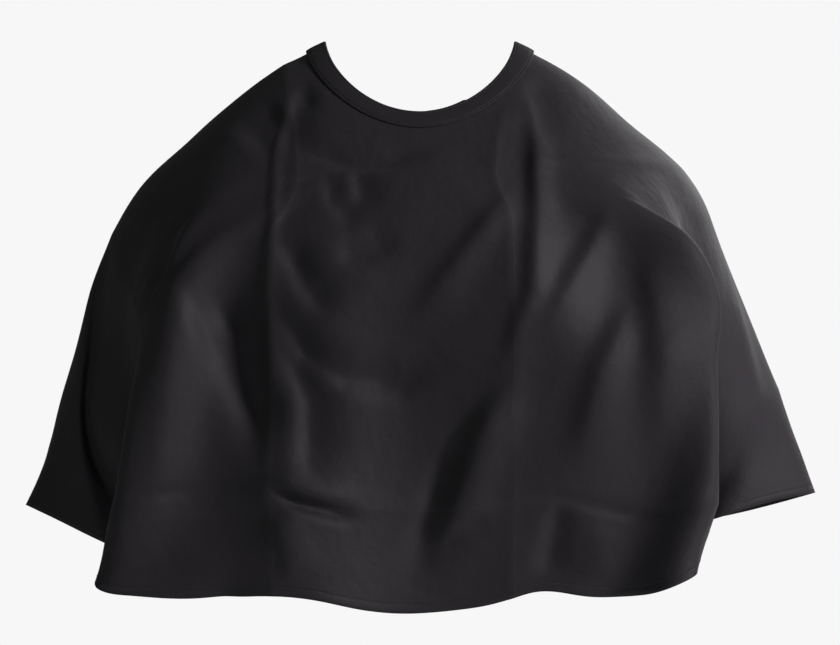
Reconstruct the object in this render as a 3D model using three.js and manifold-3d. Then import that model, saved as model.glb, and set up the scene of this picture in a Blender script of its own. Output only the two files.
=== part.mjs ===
// Barber cape, worn: one sheet of thin cloth hangs from a neck band that a tab with
// press studs closes at the back of the neck.
//
// Millimetres, +Z up. The origin is the centre of the neck opening, level with the sides
// of the neck. The cape's front faces -Y, and +X is on the right as the front is seen.
//
// Every cloth layer lies on one reference surface, the wearer's side of the cape. A point
// on it is given by an angle round the neck (0 at the front, 180 at the back) and by the
// distance down the cloth from the neck edge. A layer is an offset from that surface.

import * as THREE from "three";
import { mergeVertices } from "three/addons/utils/BufferGeometryUtils.js";
import Module from "manifold-3d";

const wasm = await Module();
wasm.setup();

// ---------------------------------------------------------------- driving dimensions

// Neck edge
const neckHalfWidth = 77;
const neckFrontDepth = 68;
const neckBackDepth = 65;
const neckFrontDip = 63;
const neckBackDip = 55;
const neckDipPower = 1.3;

// How the cloth hangs: its slope at the neck edge and at the hem, in degrees below level,
// the length over which it turns from one to the other, and its whole length.
const frontHang = { neckSlope: 48, hemSlope: 84, bendLength: 200, length: 408 };
const sideHang = { neckSlope: 24, hemSlope: 70, bendLength: 280, length: 463 };
const backHang = { neckSlope: 42, hemSlope: 84, bendLength: 190, length: 422 };
const hangBlendPower = 1.4;

// Folds that fall from the shoulders, by angle: how wide, how far out and how much longer
// the cloth hangs there. A negative reach is a valley.
const folds = [
  { angle: -63, spread: 9, reach: 8, drop: 20 },
  { angle: -77, spread: 6, reach: -44, drop: 14 },
  { angle: -92, spread: 8, reach: 6, drop: 0 },
  { angle: 61, spread: 10, reach: 10, drop: 12 },
  { angle: 75, spread: 7, reach: -36, drop: 10 },
  { angle: 91, spread: 8, reach: 6, drop: 0 },
  { angle: 118, spread: 8, reach: -26, drop: 8 },
  { angle: 146, spread: 8, reach: -18, drop: 4 },
  { angle: -118, spread: 8, reach: -26, drop: 8 },
  { angle: -146, spread: 8, reach: -18, drop: 4 },
];
const foldStart = 110;

// Slit down the back: half the angle between its edges
const slitHalfAngle = 6.5;

// Cloth layers
const plyThickness = 0.5;
const clothThickness = 0.8;
const layerGap = 0.3;
const bandWidth = 18;
const seamOverlap = 5.5;
const bandEdgeMargin = 1;

// Closure tab
const snapPitch = 17;
const tabSnapCount = 2;
const firstStudMargin = 8.6;
const tabEndMargin = 9;
const tabCornerRadius = 5;
const tabRampMargin = 0.4;

// Press studs
const studCount = 5;
const studFlangeRadius = 4.5;
const studFlangeHeight = 0.6;
const studHeadRadius = 2.1;
const studHeadLip = 0.35;
const studHeadHeight = 1.7;
const postRadius = 1.4;
const backPlateRadius = 4.2;
const backPlateHeight = 0.8;
const socketWall = 1.15;
const socketHeight = 1.8;
const socketClearance = 0.55;
const springWireRadius = 0.2;
const springGrooveClearance = 0.2;
const springOpening = 1;
const capRadius = 5.2;
const capRimHeight = 0.35;
const capDomeHeight = 0.9;
const snapGap = 0.3;
const postHoleClearance = 0.3;

// Mesh fineness
const roundColumns = 80;
const panelRows = 14;
const bandRows = 1;
const tabColumns = 20;
const roundSides = 16;
const holeSides = 14;
const springSides = 3;
const springSteps = 16;
const ringWalkStep = 0.25;

// ---------------------------------------------------------------- worked-out sizes

const bandEndAngle = 180 - slitHalfAngle;
const panelTopDepth = bandWidth - seamOverlap;

const innerPlyLow = 0;
const innerPlyHigh = innerPlyLow + plyThickness;
const middleLow = innerPlyHigh + layerGap;
const middleHigh = middleLow + clothThickness;
const outerPlyLow = middleHigh + layerGap;
const outerPlyHigh = outerPlyLow + plyThickness;

const studFlangeLow = outerPlyHigh + snapGap;
const studFlangeTop = studFlangeLow + studFlangeHeight;
const studTop = studFlangeTop + studHeadHeight;
const socketLow = studFlangeTop + snapGap;
const socketTop = socketLow + socketHeight;
const studNeckRadius = studHeadRadius - studHeadLip;
const socketBoreRadius = studHeadRadius + socketClearance;
const grooveHalfHeight = springWireRadius + springGrooveClearance;
const grooveRadius = socketBoreRadius + 2 * grooveHalfHeight;
const socketRadius = grooveRadius + socketWall;
const socketMiddle = socketLow + socketHeight / 2;
const tabLift = socketTop + snapGap - innerPlyLow;
const capLow = tabLift + outerPlyHigh + snapGap;
const capPostEnd = studTop + snapGap;
const backPlateTop = innerPlyLow - snapGap;
const postHoleRadius = postRadius + postHoleClearance;
const snapDepthOnBand = (bandEdgeMargin + panelTopDepth) / 2;

const clothColour = 0x252226;
const bandColour = 0x1c1a1d;
const interliningColour = 0x8b8a86;
const nickelColour = 0xb9b7b1;
const springColour = 0xa8a49a;

// ---------------------------------------------------------------- reference surface

const toRadians = THREE.MathUtils.degToRad;

function smooth(t) {
  return THREE.MathUtils.smoothstep(t, 0, 1);
}

function neckPoint(angle) {
  const across = Math.sin(toRadians(angle));
  const ahead = Math.cos(toRadians(angle));
  const depth = ahead > 0 ? neckFrontDepth : neckBackDepth;
  const dip = ahead > 0 ? neckFrontDip : neckBackDip;
  const drop = dip * Math.abs(ahead) ** neckDipPower;
  return new THREE.Vector3(neckHalfWidth * across, -depth * ahead, -drop);
}

// The level direction in which the cloth leaves the neck edge
function outwardDirection(angle) {
  const across = Math.sin(toRadians(angle));
  const ahead = Math.cos(toRadians(angle));
  const depth = ahead > 0 ? neckFrontDepth : neckBackDepth;
  return new THREE.Vector3(depth * across, -neckHalfWidth * ahead, 0).normalize();
}

function foldBump(fold, angle) {
  const turn = THREE.MathUtils.euclideanModulo(angle - fold.angle + 180, 360) - 180;
  return Math.exp(-((turn / fold.spread) ** 2));
}

// The hang at one angle is a blend of the front, side and back ones
function hangAt(angle) {
  const ahead = Math.cos(toRadians(angle));
  const share = Math.abs(ahead) ** hangBlendPower;
  const other = ahead > 0 ? frontHang : backHang;
  const blend = (key) => THREE.MathUtils.lerp(sideHang[key], other[key], share);
  const extra = folds.reduce((sum, fold) => sum + fold.drop * foldBump(fold, angle), 0);
  return {
    neckSlope: toRadians(blend("neckSlope")),
    hemSlope: toRadians(blend("hemSlope")),
    bendLength: blend("bendLength"),
    length: blend("length") + extra,
  };
}

// The cloth bends evenly over the bend length, then hangs straight
function surfacePoint(angle, depth) {
  const hang = hangAt(angle);
  const bend = (hang.hemSlope - hang.neckSlope) / hang.bendLength;
  const bent = Math.min(depth, hang.bendLength);
  const straight = depth - bent;
  const slope = hang.neckSlope + bend * bent;
  let run = (Math.sin(slope) - Math.sin(hang.neckSlope)) / bend;
  let fall = (Math.cos(hang.neckSlope) - Math.cos(slope)) / bend;
  run += straight * Math.cos(hang.hemSlope);
  fall += straight * Math.sin(hang.hemSlope);
  const share = smooth((depth - foldStart) / (hang.length - foldStart));
  run += share * folds.reduce((sum, fold) => sum + fold.reach * foldBump(fold, angle), 0);
  const point = neckPoint(angle).addScaledVector(outwardDirection(angle), run);
  point.z -= fall;
  return point;
}

function surfaceNormal(angle, depth) {
  const angleStep = 0.2;
  const depthStep = 0.5;
  const down = surfacePoint(angle, depth + depthStep).sub(surfacePoint(angle, depth));
  const round = surfacePoint(angle + angleStep, depth);
  round.sub(surfacePoint(angle - angleStep, depth));
  return down.cross(round).normalize();
}

function layerPoint(angle, depth, offset) {
  return surfacePoint(angle, depth).addScaledVector(surfaceNormal(angle, depth), offset);
}

// The angle reached by walking round the neck edge, from the band's left end and over
// the slit, for the given length
function angleAfterWalk(length) {
  const steps = Math.ceil(length / ringWalkStep);
  const walk = length / steps;
  const probe = 0.1;
  let angle = -bandEndAngle;
  for (let step = 0; step < steps; step += 1) {
    const chord = neckPoint(angle).distanceTo(neckPoint(angle - probe));
    angle -= (probe * walk) / chord;
  }
  return angle;
}

// The band's two ends stand apart by this much, and the tab crosses the gap while it
// rises on to the right end's press studs
const bandEndGap = neckPoint(bandEndAngle).distanceTo(neckPoint(-bandEndAngle));
const tabRampLength = bandEndGap - tabRampMargin;
const tabFirstSnap = bandEndGap + firstStudMargin;
const tabLength = tabFirstSnap + (tabSnapCount - 1) * snapPitch + tabEndMargin;

// ---------------------------------------------------------------- building blocks

// A closed slab between an inner and an outer sheet. place(u, v, side) gives its points.
function slabGeometry(columns, rows, place) {
  const sheet = (columns + 1) * (rows + 1);
  const positions = [];
  const index = [];
  for (const side of [0, 1]) {
    for (let row = 0; row <= rows; row += 1) {
      for (let column = 0; column <= columns; column += 1) {
        positions.push(...place(column / columns, row / rows, side).toArray());
      }
    }
  }
  const at = (column, row, side) => side * sheet + row * (columns + 1) + column;
  const quad = (a, b, c, d) => index.push(a, b, c, a, c, d);
  for (let row = 0; row < rows; row += 1) {
    for (let column = 0; column < columns; column += 1) {
      const corners = [
        [column, row],
        [column, row + 1],
        [column + 1, row + 1],
        [column + 1, row],
      ];
      quad(...corners.map(([c, r]) => at(c, r, 1)));
      quad(...corners.map(([c, r]) => at(c, r, 0)).reverse());
    }
  }
  for (let column = 0; column < columns; column += 1) {
    const next = column + 1;
    quad(at(column, 0, 0), at(column, 0, 1), at(next, 0, 1), at(next, 0, 0));
    quad(at(next, rows, 0), at(next, rows, 1), at(column, rows, 1), at(column, rows, 0));
  }
  for (let row = 0; row < rows; row += 1) {
    const next = row + 1;
    quad(at(0, next, 0), at(0, next, 1), at(0, row, 1), at(0, row, 0));
    quad(at(columns, row, 0), at(columns, row, 1), at(columns, next, 1), at(columns, next, 0));
  }
  const geometry = new THREE.BufferGeometry();
  geometry.setAttribute("position", new THREE.Float32BufferAttribute(positions, 3));
  geometry.setIndex(index);
  return geometry;
}

function solidFromGeometry(geometry) {
  const bare = geometry.clone();
  bare.deleteAttribute("normal");
  bare.deleteAttribute("uv");
  const merged = mergeVertices(bare);
  return new wasm.Manifold(
    new wasm.Mesh({
      numProp: 3,
      vertProperties: merged.getAttribute("position").array,
      triVerts: new Uint32Array(merged.index.array),
    }),
  );
}

function geometryFromSolid(solid) {
  const { vertProperties, triVerts } = solid.getMesh();
  const geometry = new THREE.BufferGeometry();
  geometry.setAttribute("position", new THREE.BufferAttribute(vertProperties, 3));
  geometry.setIndex(new THREE.BufferAttribute(triVerts, 1));
  return geometry;
}

// Where a press stud sits: a point on the reference surface, its local +Y facing out
function snapFrame(number) {
  const angle = angleAfterWalk(tabFirstSnap + (number - 1) * snapPitch);
  const normal = surfaceNormal(angle, snapDepthOnBand);
  const turn = new THREE.Quaternion().setFromUnitVectors(new THREE.Vector3(0, 1, 0), normal);
  const place = surfacePoint(angle, snapDepthOnBand);
  return new THREE.Matrix4().compose(place, turn, new THREE.Vector3(1, 1, 1));
}

function cutPostHoles(geometry, snapNumbers) {
  const reach = 2 * (capLow + snapPitch);
  const cutter = new THREE.CylinderGeometry(postHoleRadius, postHoleRadius, reach, holeSides);
  let solid = solidFromGeometry(geometry);
  for (const number of snapNumbers) {
    const placed = cutter.clone().applyMatrix4(snapFrame(number));
    solid = solid.subtract(solidFromGeometry(placed));
  }
  return geometryFromSolid(solid);
}

function latheGeometry(profile) {
  const points = profile.map(([radius, height]) => new THREE.Vector2(radius, height));
  return new THREE.LatheGeometry(points, roundSides);
}

function cloth(colour, roughness) {
  return new THREE.MeshStandardMaterial({ color: colour, roughness, metalness: 0 });
}

function metal(colour, roughness) {
  return new THREE.MeshStandardMaterial({ color: colour, roughness, metalness: 1 });
}

function namedMesh(name, geometry, material) {
  const mesh = new THREE.Mesh(geometry, material);
  mesh.name = name;
  return mesh;
}

function placedOnSnap(mesh, number) {
  snapFrame(number).decompose(mesh.position, mesh.quaternion, mesh.scale);
  return mesh;
}

function countFromOne(count) {
  return Array.from({ length: count }, (_, position) => position + 1);
}

// ---------------------------------------------------------------- cape panel

// The panel's first row ends at the band's lower edge, so that it lies flat in the band
function panelDepth(angle, v) {
  const firstRow = 1 / panelRows;
  if (v < firstRow / 2) {
    return panelTopDepth;
  }
  const past = (v - firstRow) / (1 - firstRow);
  return THREE.MathUtils.lerp(bandWidth, hangAt(angle).length, past);
}

function capePanel() {
  const geometry = slabGeometry(roundColumns, panelRows, (u, v, side) => {
    const angle = THREE.MathUtils.lerp(-bandEndAngle, bandEndAngle, u);
    return layerPoint(angle, panelDepth(angle, v), side ? middleHigh : middleLow);
  });
  return namedMesh("cape_panel", geometry, cloth(clothColour, 0.62));
}

// ---------------------------------------------------------------- neck band

function bandPly(name, low, high, topDepth, bottomDepth, material) {
  const geometry = slabGeometry(roundColumns, bandRows, (u, v, side) => {
    const angle = THREE.MathUtils.lerp(-bandEndAngle, bandEndAngle, u);
    const depth = THREE.MathUtils.lerp(topDepth, bottomDepth, v);
    return layerPoint(angle, depth, side ? high : low);
  });
  return namedMesh(name, cutPostHoles(geometry, countFromOne(studCount)), material);
}

function neckBand() {
  const interliningBottom = panelTopDepth - layerGap;
  return [
    bandPly("neck_band_inner", innerPlyLow, innerPlyHigh, 0, bandWidth, cloth(bandColour, 0.66)),
    bandPly(
      "neck_band_interlining",
      middleLow,
      middleHigh,
      bandEdgeMargin,
      interliningBottom,
      cloth(interliningColour, 0.9),
    ),
    bandPly("neck_band_outer", outerPlyLow, outerPlyHigh, 0, bandWidth, cloth(bandColour, 0.64)),
  ];
}

// ---------------------------------------------------------------- closure tab

// How far in the tab's two long edges come at its rounded end
function tabEdgeInset(walk) {
  const past = Math.max(0, walk - (tabLength - tabCornerRadius));
  return tabCornerRadius - Math.sqrt(tabCornerRadius ** 2 - past ** 2);
}

function tabPly(name, low, high, edgeMargin, material) {
  const start = layerGap;
  const end = tabLength - edgeMargin;
  const geometry = slabGeometry(tabColumns, bandRows, (u, v, side) => {
    const walk = THREE.MathUtils.lerp(end, start, u);
    const lift = tabLift * smooth((walk - start) / (tabRampLength - start));
    const inset = edgeMargin + tabEdgeInset(walk + edgeMargin);
    const depth = THREE.MathUtils.lerp(inset, bandWidth - inset, v);
    return layerPoint(angleAfterWalk(walk), depth, lift + (side ? high : low));
  });
  return namedMesh(name, cutPostHoles(geometry, countFromOne(tabSnapCount)), material);
}

function closureTab() {
  return [
    tabPly("tab_inner", innerPlyLow, innerPlyHigh, 0, cloth(bandColour, 0.66)),
    tabPly("tab_interlining", middleLow, middleHigh, bandEdgeMargin, cloth(interliningColour, 0.9)),
    tabPly("tab_outer", outerPlyLow, outerPlyHigh, 0, cloth(bandColour, 0.64)),
  ];
}

// ---------------------------------------------------------------- press studs

// A stud on the band's right end: flange, waisted head, and a post through the band
function snapStud(number) {
  const postEnd = backPlateTop - backPlateHeight + snapGap;
  const waist = studFlangeTop + studHeadHeight / 3;
  const shoulder = studFlangeTop + (2 * studHeadHeight) / 3;
  const profile = [
    [0, postEnd],
    [postRadius, postEnd],
    [postRadius, studFlangeLow],
    [studFlangeRadius, studFlangeLow],
    [studFlangeRadius, studFlangeTop],
    [studNeckRadius, studFlangeTop],
    [studNeckRadius, waist],
    [studHeadRadius, shoulder],
    [studNeckRadius, studTop],
    [0, studTop],
  ];
  const mesh = namedMesh(`snap_stud_${number}`, latheGeometry(profile), metal(nickelColour, 0.3));
  return placedOnSnap(mesh, number);
}

// The ring behind the band that the stud's post goes through
function snapBack(number) {
  const low = backPlateTop - backPlateHeight;
  const bevel = backPlateHeight / 3;
  const profile = [
    [postHoleRadius, low],
    [backPlateRadius - bevel, low],
    [backPlateRadius, low + bevel],
    [backPlateRadius, backPlateTop],
    [postHoleRadius, backPlateTop],
    [postHoleRadius, low],
  ];
  const mesh = namedMesh(`snap_back_${number}`, latheGeometry(profile), metal(nickelColour, 0.35));
  return placedOnSnap(mesh, number);
}

// The socket on the tab's inner face, with a groove inside for the ring spring
function snapSocket(number) {
  const grooveTop = socketMiddle + grooveHalfHeight;
  const grooveLow = socketMiddle - grooveHalfHeight;
  const profile = [
    [socketBoreRadius, socketLow],
    [socketRadius, socketLow],
    [socketRadius, socketTop],
    [socketBoreRadius, socketTop],
    [socketBoreRadius, grooveTop],
    [grooveRadius, grooveTop],
    [grooveRadius, grooveLow],
    [socketBoreRadius, grooveLow],
    [socketBoreRadius, socketLow],
  ];
  const mesh = namedMesh(`snap_socket_${number}`, latheGeometry(profile), metal(nickelColour, 0.32));
  return placedOnSnap(mesh, number);
}

// A split ring of spring wire in the socket's groove
function snapSpring(number) {
  const radius = socketBoreRadius + grooveHalfHeight;
  const openAngle = springOpening / radius;
  const points = countFromOne(springSteps + 1).map((count) => {
    const turn = openAngle / 2 + ((2 * Math.PI - openAngle) * (count - 1)) / springSteps;
    return new THREE.Vector3(radius * Math.sin(turn), socketMiddle, radius * Math.cos(turn));
  });
  const section = new THREE.Shape();
  section.absarc(0, 0, springWireRadius, 0, 2 * Math.PI);
  const geometry = new THREE.ExtrudeGeometry(section, {
    steps: springSteps,
    curveSegments: springSides,
    extrudePath: new THREE.CatmullRomCurve3(points),
  });
  const mesh = namedMesh(`snap_spring_${number}`, geometry, metal(springColour, 0.4));
  return placedOnSnap(mesh, number);
}

// The domed cap on the tab's outer face, with its post down through the tab
function snapCap(number) {
  const rimTop = capLow + capRimHeight;
  const domeTop = capLow + capDomeHeight;
  const profile = [
    [0, capPostEnd],
    [postRadius, capPostEnd],
    [postRadius, capLow],
    [capRadius, capLow],
    [capRadius, rimTop],
  ];
  const domePoints = 5;
  for (const count of countFromOne(domePoints)) {
    const turn = (count / domePoints) * (Math.PI / 2);
    const radius = count === domePoints ? 0 : capRadius * Math.cos(turn);
    profile.push([radius, THREE.MathUtils.lerp(rimTop, domeTop, Math.sin(turn))]);
  }
  const mesh = namedMesh(`snap_cap_${number}`, latheGeometry(profile), metal(nickelColour, 0.22));
  return placedOnSnap(mesh, number);
}

// ---------------------------------------------------------------- assembly

const barberCape = new THREE.Group();
barberCape.name = "barber_cape";
barberCape.add(capePanel(), ...neckBand(), ...closureTab());
for (const number of countFromOne(studCount)) {
  barberCape.add(snapStud(number), snapBack(number));
}
for (const number of countFromOne(tabSnapCount)) {
  barberCape.add(snapCap(number), snapSocket(number), snapSpring(number));
}

export default barberCape;
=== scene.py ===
import math

import bmesh
import bpy
import numpy as np
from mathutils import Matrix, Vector
from mathutils.bvhtree import BVHTree
from mathutils.interpolate import poly_3d_calc


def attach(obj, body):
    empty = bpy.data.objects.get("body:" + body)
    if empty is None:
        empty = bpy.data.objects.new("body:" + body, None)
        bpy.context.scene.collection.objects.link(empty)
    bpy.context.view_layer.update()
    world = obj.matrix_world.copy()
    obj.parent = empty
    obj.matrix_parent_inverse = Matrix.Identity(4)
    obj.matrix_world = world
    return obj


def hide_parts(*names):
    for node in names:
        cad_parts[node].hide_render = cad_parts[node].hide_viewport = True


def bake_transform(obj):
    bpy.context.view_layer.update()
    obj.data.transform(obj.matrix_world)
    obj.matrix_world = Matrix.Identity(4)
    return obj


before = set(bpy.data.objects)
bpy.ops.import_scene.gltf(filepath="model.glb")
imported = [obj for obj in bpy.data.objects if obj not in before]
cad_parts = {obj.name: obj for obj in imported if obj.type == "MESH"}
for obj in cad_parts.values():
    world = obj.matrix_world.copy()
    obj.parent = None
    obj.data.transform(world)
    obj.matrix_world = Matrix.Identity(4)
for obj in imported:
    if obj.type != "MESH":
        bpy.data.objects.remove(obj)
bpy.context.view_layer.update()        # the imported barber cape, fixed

scene = bpy.context.scene
trueTurn = 2 * math.pi

# the neck edge and the way the cloth leaves it (metres, the same sizes as the frame)

neckEdge = {
    "halfWidth": .077, "frontDepth": .068, "backDepth": .065,
    "frontDip": .063, "backDip": .055, "dipPower": 1.3,
    "bandEnd": math.radians(173.5),      # the slit is open behind this angle
}

# slope at the neck and at the hem in degrees, length of the bend, whole length
clothHang = {
    "front": (48, 84, .200, .408),
    "side": (24, 70, .280, .463),
    "back": (42, 84, .190, .422),
    "blendPower": 1.4,
}

layers = {
    "innerPly": (0, .0005), "middle": (.0008, .0016), "outerPly": (.0019, .0024),
    "bandWidth": .018, "seamDepth": .0125,
    "tabLift": .0057, "studFlange": .0027, "socket": .0036, "cap": .0084,
    "capPostEnd": .0053, "backPlateTop": -.0003, "snapDepth": .00675,
}


def surfacePoints(angle, depth):         # angle 0 is the front, depth is down the cloth
    angle, depth = np.broadcast_arrays(np.asarray(angle, float), np.asarray(depth, float))
    across, ahead = np.sin(angle), np.cos(angle)
    inFront = ahead > 0
    neckDepth = np.where(inFront, neckEdge["frontDepth"], neckEdge["backDepth"])
    dip = np.where(inFront, neckEdge["frontDip"], neckEdge["backDip"])
    share = (np.abs(ahead) ** clothHang["blendPower"])[..., None]
    side, front, back = (np.array(clothHang[key], float) for key in ("side", "front", "back"))
    here = side + (np.where(inFront[..., None], front, back) - side) * share
    neckSlope, hemSlope = np.radians(here[..., 0]), np.radians(here[..., 1])
    bend = (hemSlope - neckSlope) / here[..., 2]
    bent = np.minimum(depth, here[..., 2])
    slope = neckSlope + bend * bent
    run = (np.sin(slope) - np.sin(neckSlope)) / bend + (depth - bent) * np.cos(hemSlope)
    fall = (np.cos(neckSlope) - np.cos(slope)) / bend + (depth - bent) * np.sin(hemSlope)
    outward = np.stack([neckDepth * across, -neckEdge["halfWidth"] * ahead, 0 * across], -1)
    outward /= np.linalg.norm(outward, axis=-1, keepdims=True)
    drop = dip * np.abs(ahead) ** neckEdge["dipPower"] + fall
    edge = np.stack([neckEdge["halfWidth"] * across, -neckDepth * ahead, -drop], -1)
    return edge + outward * run[..., None]


def surfaceNormals(angle, depth):
    down = surfacePoints(angle, np.asarray(depth) + .0005) - surfacePoints(angle, depth)
    alongEdge = surfacePoints(np.asarray(angle) + .003, depth)
    alongEdge = alongEdge - surfacePoints(np.asarray(angle) - .003, depth)
    normal = np.cross(down, alongEdge)
    return normal / np.linalg.norm(normal, axis=-1, keepdims=True)


def layerPoints(angle, depth, offset):
    normal = surfaceNormals(angle, depth)
    return surfacePoints(angle, depth) + normal * np.asarray(offset, float)[..., None]


def smoothStep(t):
    t = np.clip(t, 0, 1)
    return t * t * (3 - 2 * t)


# the flat cut: one sheet with a neck hole and a slit down the back

capeCut = {
    "cell": .0125,
    "cornerRoundness": 2.7,              # 2 is an oval, more is squarer
}


def seamRing():                          # the cape's own neck edge, inside the band
    turn = np.linspace(0, trueTurn, 721)
    ring = surfacePoints(turn, layers["seamDepth"])
    steps = np.linalg.norm(np.diff(ring, axis=0), axis=1)
    return turn, np.concatenate([[0], np.cumsum(steps)])


ringTurn, ringLength = seamRing()
holeRadius = ringLength[-1] / trueTurn
cutHalfWidth = holeRadius + clothHang["side"][3] - layers["seamDepth"]
cutFront = holeRadius + clothHang["front"][3] - layers["seamDepth"]
cutBack = holeRadius + clothHang["back"][3] - layers["seamDepth"]


def outlineRadius(angle):
    power = capeCut["cornerRoundness"]
    across, ahead = np.abs(np.sin(angle)), np.cos(angle)
    length = np.where(ahead > 0, cutFront, cutBack)
    return ((across / cutHalfWidth) ** power + (np.abs(ahead) / length) ** power) ** (-1 / power)


def cutCape(cell):                       # flat points (x, y, side of the slit) and quads
    numbers, flat, quads = {}, [], []
    reach = int(.56 / cell) + 1
    for column in range(-reach, reach):
        for row in range(-reach, reach):
            middleX, middleY = (column + .5) * cell, (row + .5) * cell
            radius = math.hypot(middleX, middleY)
            rim = float(outlineRadius(math.atan2(middleX, -middleY)))
            if not holeRadius + .2 * cell < radius < rim:
                continue
            side = 1 if column >= 0 else -1
            quad = []
            for right, up in ((0, 0), (1, 0), (1, 1), (0, 1)):
                a, b = column + right, row + up
                onSlit = a == 0 and b * cell > holeRadius
                key = (a, b, side if onSlit else 0)
                if key not in numbers:
                    numbers[key] = len(flat)
                    flat.append((a * cell, b * cell, key[2]))
                quad.append(numbers[key])
            quads.append(quad)
    return np.array(flat, float), quads


def rimPoints(quads):                    # the points on an edge that only one quad has
    count = {}
    for quad in quads:
        for pair in zip(quad, quad[1:] + quad[:1]):
            count[frozenset(pair)] = count.get(frozenset(pair), 0) + 1
    return {v for edge, uses in count.items() if uses == 1 for v in edge}


def snapRim(flat, quads, cell):          # the stepped rim moves on to the true outline
    for v in rimPoints(quads):
        x, y, side = flat[v]
        radius, angle = math.hypot(x, y), math.atan2(x, -y)
        outer = float(outlineRadius(angle))
        if radius < holeRadius + 1.6 * cell and not (side and radius > holeRadius + cell):
            flat[v, :2] *= holeRadius / radius
        elif not side or radius > outer - 1.2 * cell:
            flat[v, :2] *= outer / radius


def wornPoints(flat):                    # where the collar's points are held round the neck
    radius = np.hypot(flat[:, 0], flat[:, 1])
    angle = np.arctan2(flat[:, 0], -flat[:, 1])
    angle = np.where(flat[:, 2] != 0, np.copysign(math.pi - .002, flat[:, 2]), angle)
    turned = np.interp(np.mod(angle, trueTurn) * holeRadius, ringLength, ringTurn)
    turned = np.where(turned > math.pi, turned - trueTurn, turned)
    turned *= neckEdge["bandEnd"] / math.pi
    depth = layers["seamDepth"] + radius - holeRadius
    return layerPoints(turned, depth, np.full(len(flat), sum(layers["middle"]) / 2))


# plain shoulders, only to drape the cloth on; removed afterwards

shoulders = {
    "limbs": [                           # from, to, radius from, radius to
        ((.165, 0, -.118), (.05, 0, -.062), .062, .052),
        ((.178, 0, -.125), (.235, 0, -.310), .060, .042),
        ((.135, -.040, -.125), (.178, -.062, -.235), .062, .052),
    ],
    "trunk": [                           # centre, half sizes
        ((0, -.005, -.22), (.165, .125, .18)),
        ((-.07, -.06, -.215), (.085, .078, .10)),
        ((.07, -.06, -.215), (.085, .078, .10)),
        ((0, .03, -.17), (.17, .10, .12)),
        ((0, 0, -.34), (.10, .10, .15)),
    ],
    "voxel": .009, "friction": 8,
}


def makeShoulders():
    bm = bmesh.new()

    def ball(centre, sizes, rounds):
        made = bmesh.ops.create_icosphere(bm, subdivisions=rounds, radius=1)
        for v in made["verts"]:
            v.co = Vector(v.co[k] * sizes[k] + centre[k] for k in range(3))

    for side in (-1, 1):
        for start, end, startRadius, endRadius in shoulders["limbs"]:
            for step in range(15):
                share = step / 14
                place = Vector(start).lerp(Vector(end), share)
                radius = startRadius + (endRadius - startRadius) * share
                ball((side * place.x, place.y, place.z), (radius,) * 3, 2)
    for centre, sizes in shoulders["trunk"]:
        ball(centre, sizes, 3)
    mesh = bpy.data.meshes.new("shoulders")
    bm.to_mesh(mesh)
    bm.free()
    form = bpy.data.objects.new("shoulders", mesh)
    scene.collection.objects.link(form)
    remesh = form.modifiers.new("remesh", "REMESH")
    remesh.mode, remesh.voxel_size = "VOXEL", shoulders["voxel"]
    smooth = form.modifiers.new("smooth", "SMOOTH")
    smooth.iterations, smooth.factor = 8, .6
    form.data = appliedMesh(form)
    form.modifiers.clear()
    form.modifiers.new("collision", "COLLISION")
    form.collision.thickness_outer, form.collision.thickness_inner = .004, .03
    form.collision.cloth_friction = shoulders["friction"]
    return form


def appliedMesh(piece):
    bpy.context.view_layer.update()
    depsgraph = bpy.context.evaluated_depsgraph_get()
    return bpy.data.meshes.new_from_object(piece.evaluated_get(depsgraph))


# draping: the sheet falls from flat while the collar closes round the neck

drape = {
    "frames": 66, "lowerBy": 14, "arrangeBy": 32, "letGo": 50,
    "mass": .2, "stretch": 15, "shear": 5, "bending": 6, "air": 1.0,
    "gap": .004, "guideReach": .012, "guideWeight": .8,
    "guidePull": 15, "guideRest": 9,
    # lines on the flat cut and where a hand would arrange them on the wearer
    "arranged": [
        [((-.243, -.192), (-.203, -.105, -.169)), ((-.256, -.278), (-.221, -.120, -.248)),
         ((-.260, -.336), (-.231, -.128, -.305)), ((-.262, -.398), (-.241, -.133, -.366)),
         ((-.265, -.465), (-.2535, -.138, -.429))],
        [((.238, -.183), (.2157, -.100, -.1416)), ((.252, -.297), (.232, -.120, -.2507)),
         ((.250, -.405), (.2325, -.132, -.359)), ((.238, -.464), (.2162, -.136, -.416))],
        [((-.400, 0), (-.285, 0, -.245)), ((-.543, 0), (-.328, 0, -.366))],
        [((.400, 0), (.285, 0, -.245)), ((.543, 0), (.328, 0, -.366))],
        [((-.543, 0), (-.328, 0, -.366)), ((-.541, -.050), (-.285, -.020, -.386)),
         ((-.538, -.090), (-.252, -.035, -.404)), ((-.510, -.200), (-.195, .045, -.400))],
        [((.543, 0), (.328, 0, -.366)), ((.541, -.055), (.278, -.030, -.374)),
         ((.537, -.100), (.237, -.045, -.388)), ((.510, -.200), (.190, .045, -.385))],
        [((-.330, -.270), (-.165, -.070, -.315)), ((-.410, -.340), (-.125, -.020, -.405))],
        [((.330, -.270), (.160, -.070, -.300)), ((.410, -.340), (.120, -.020, -.400))],
    ],
}


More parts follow.
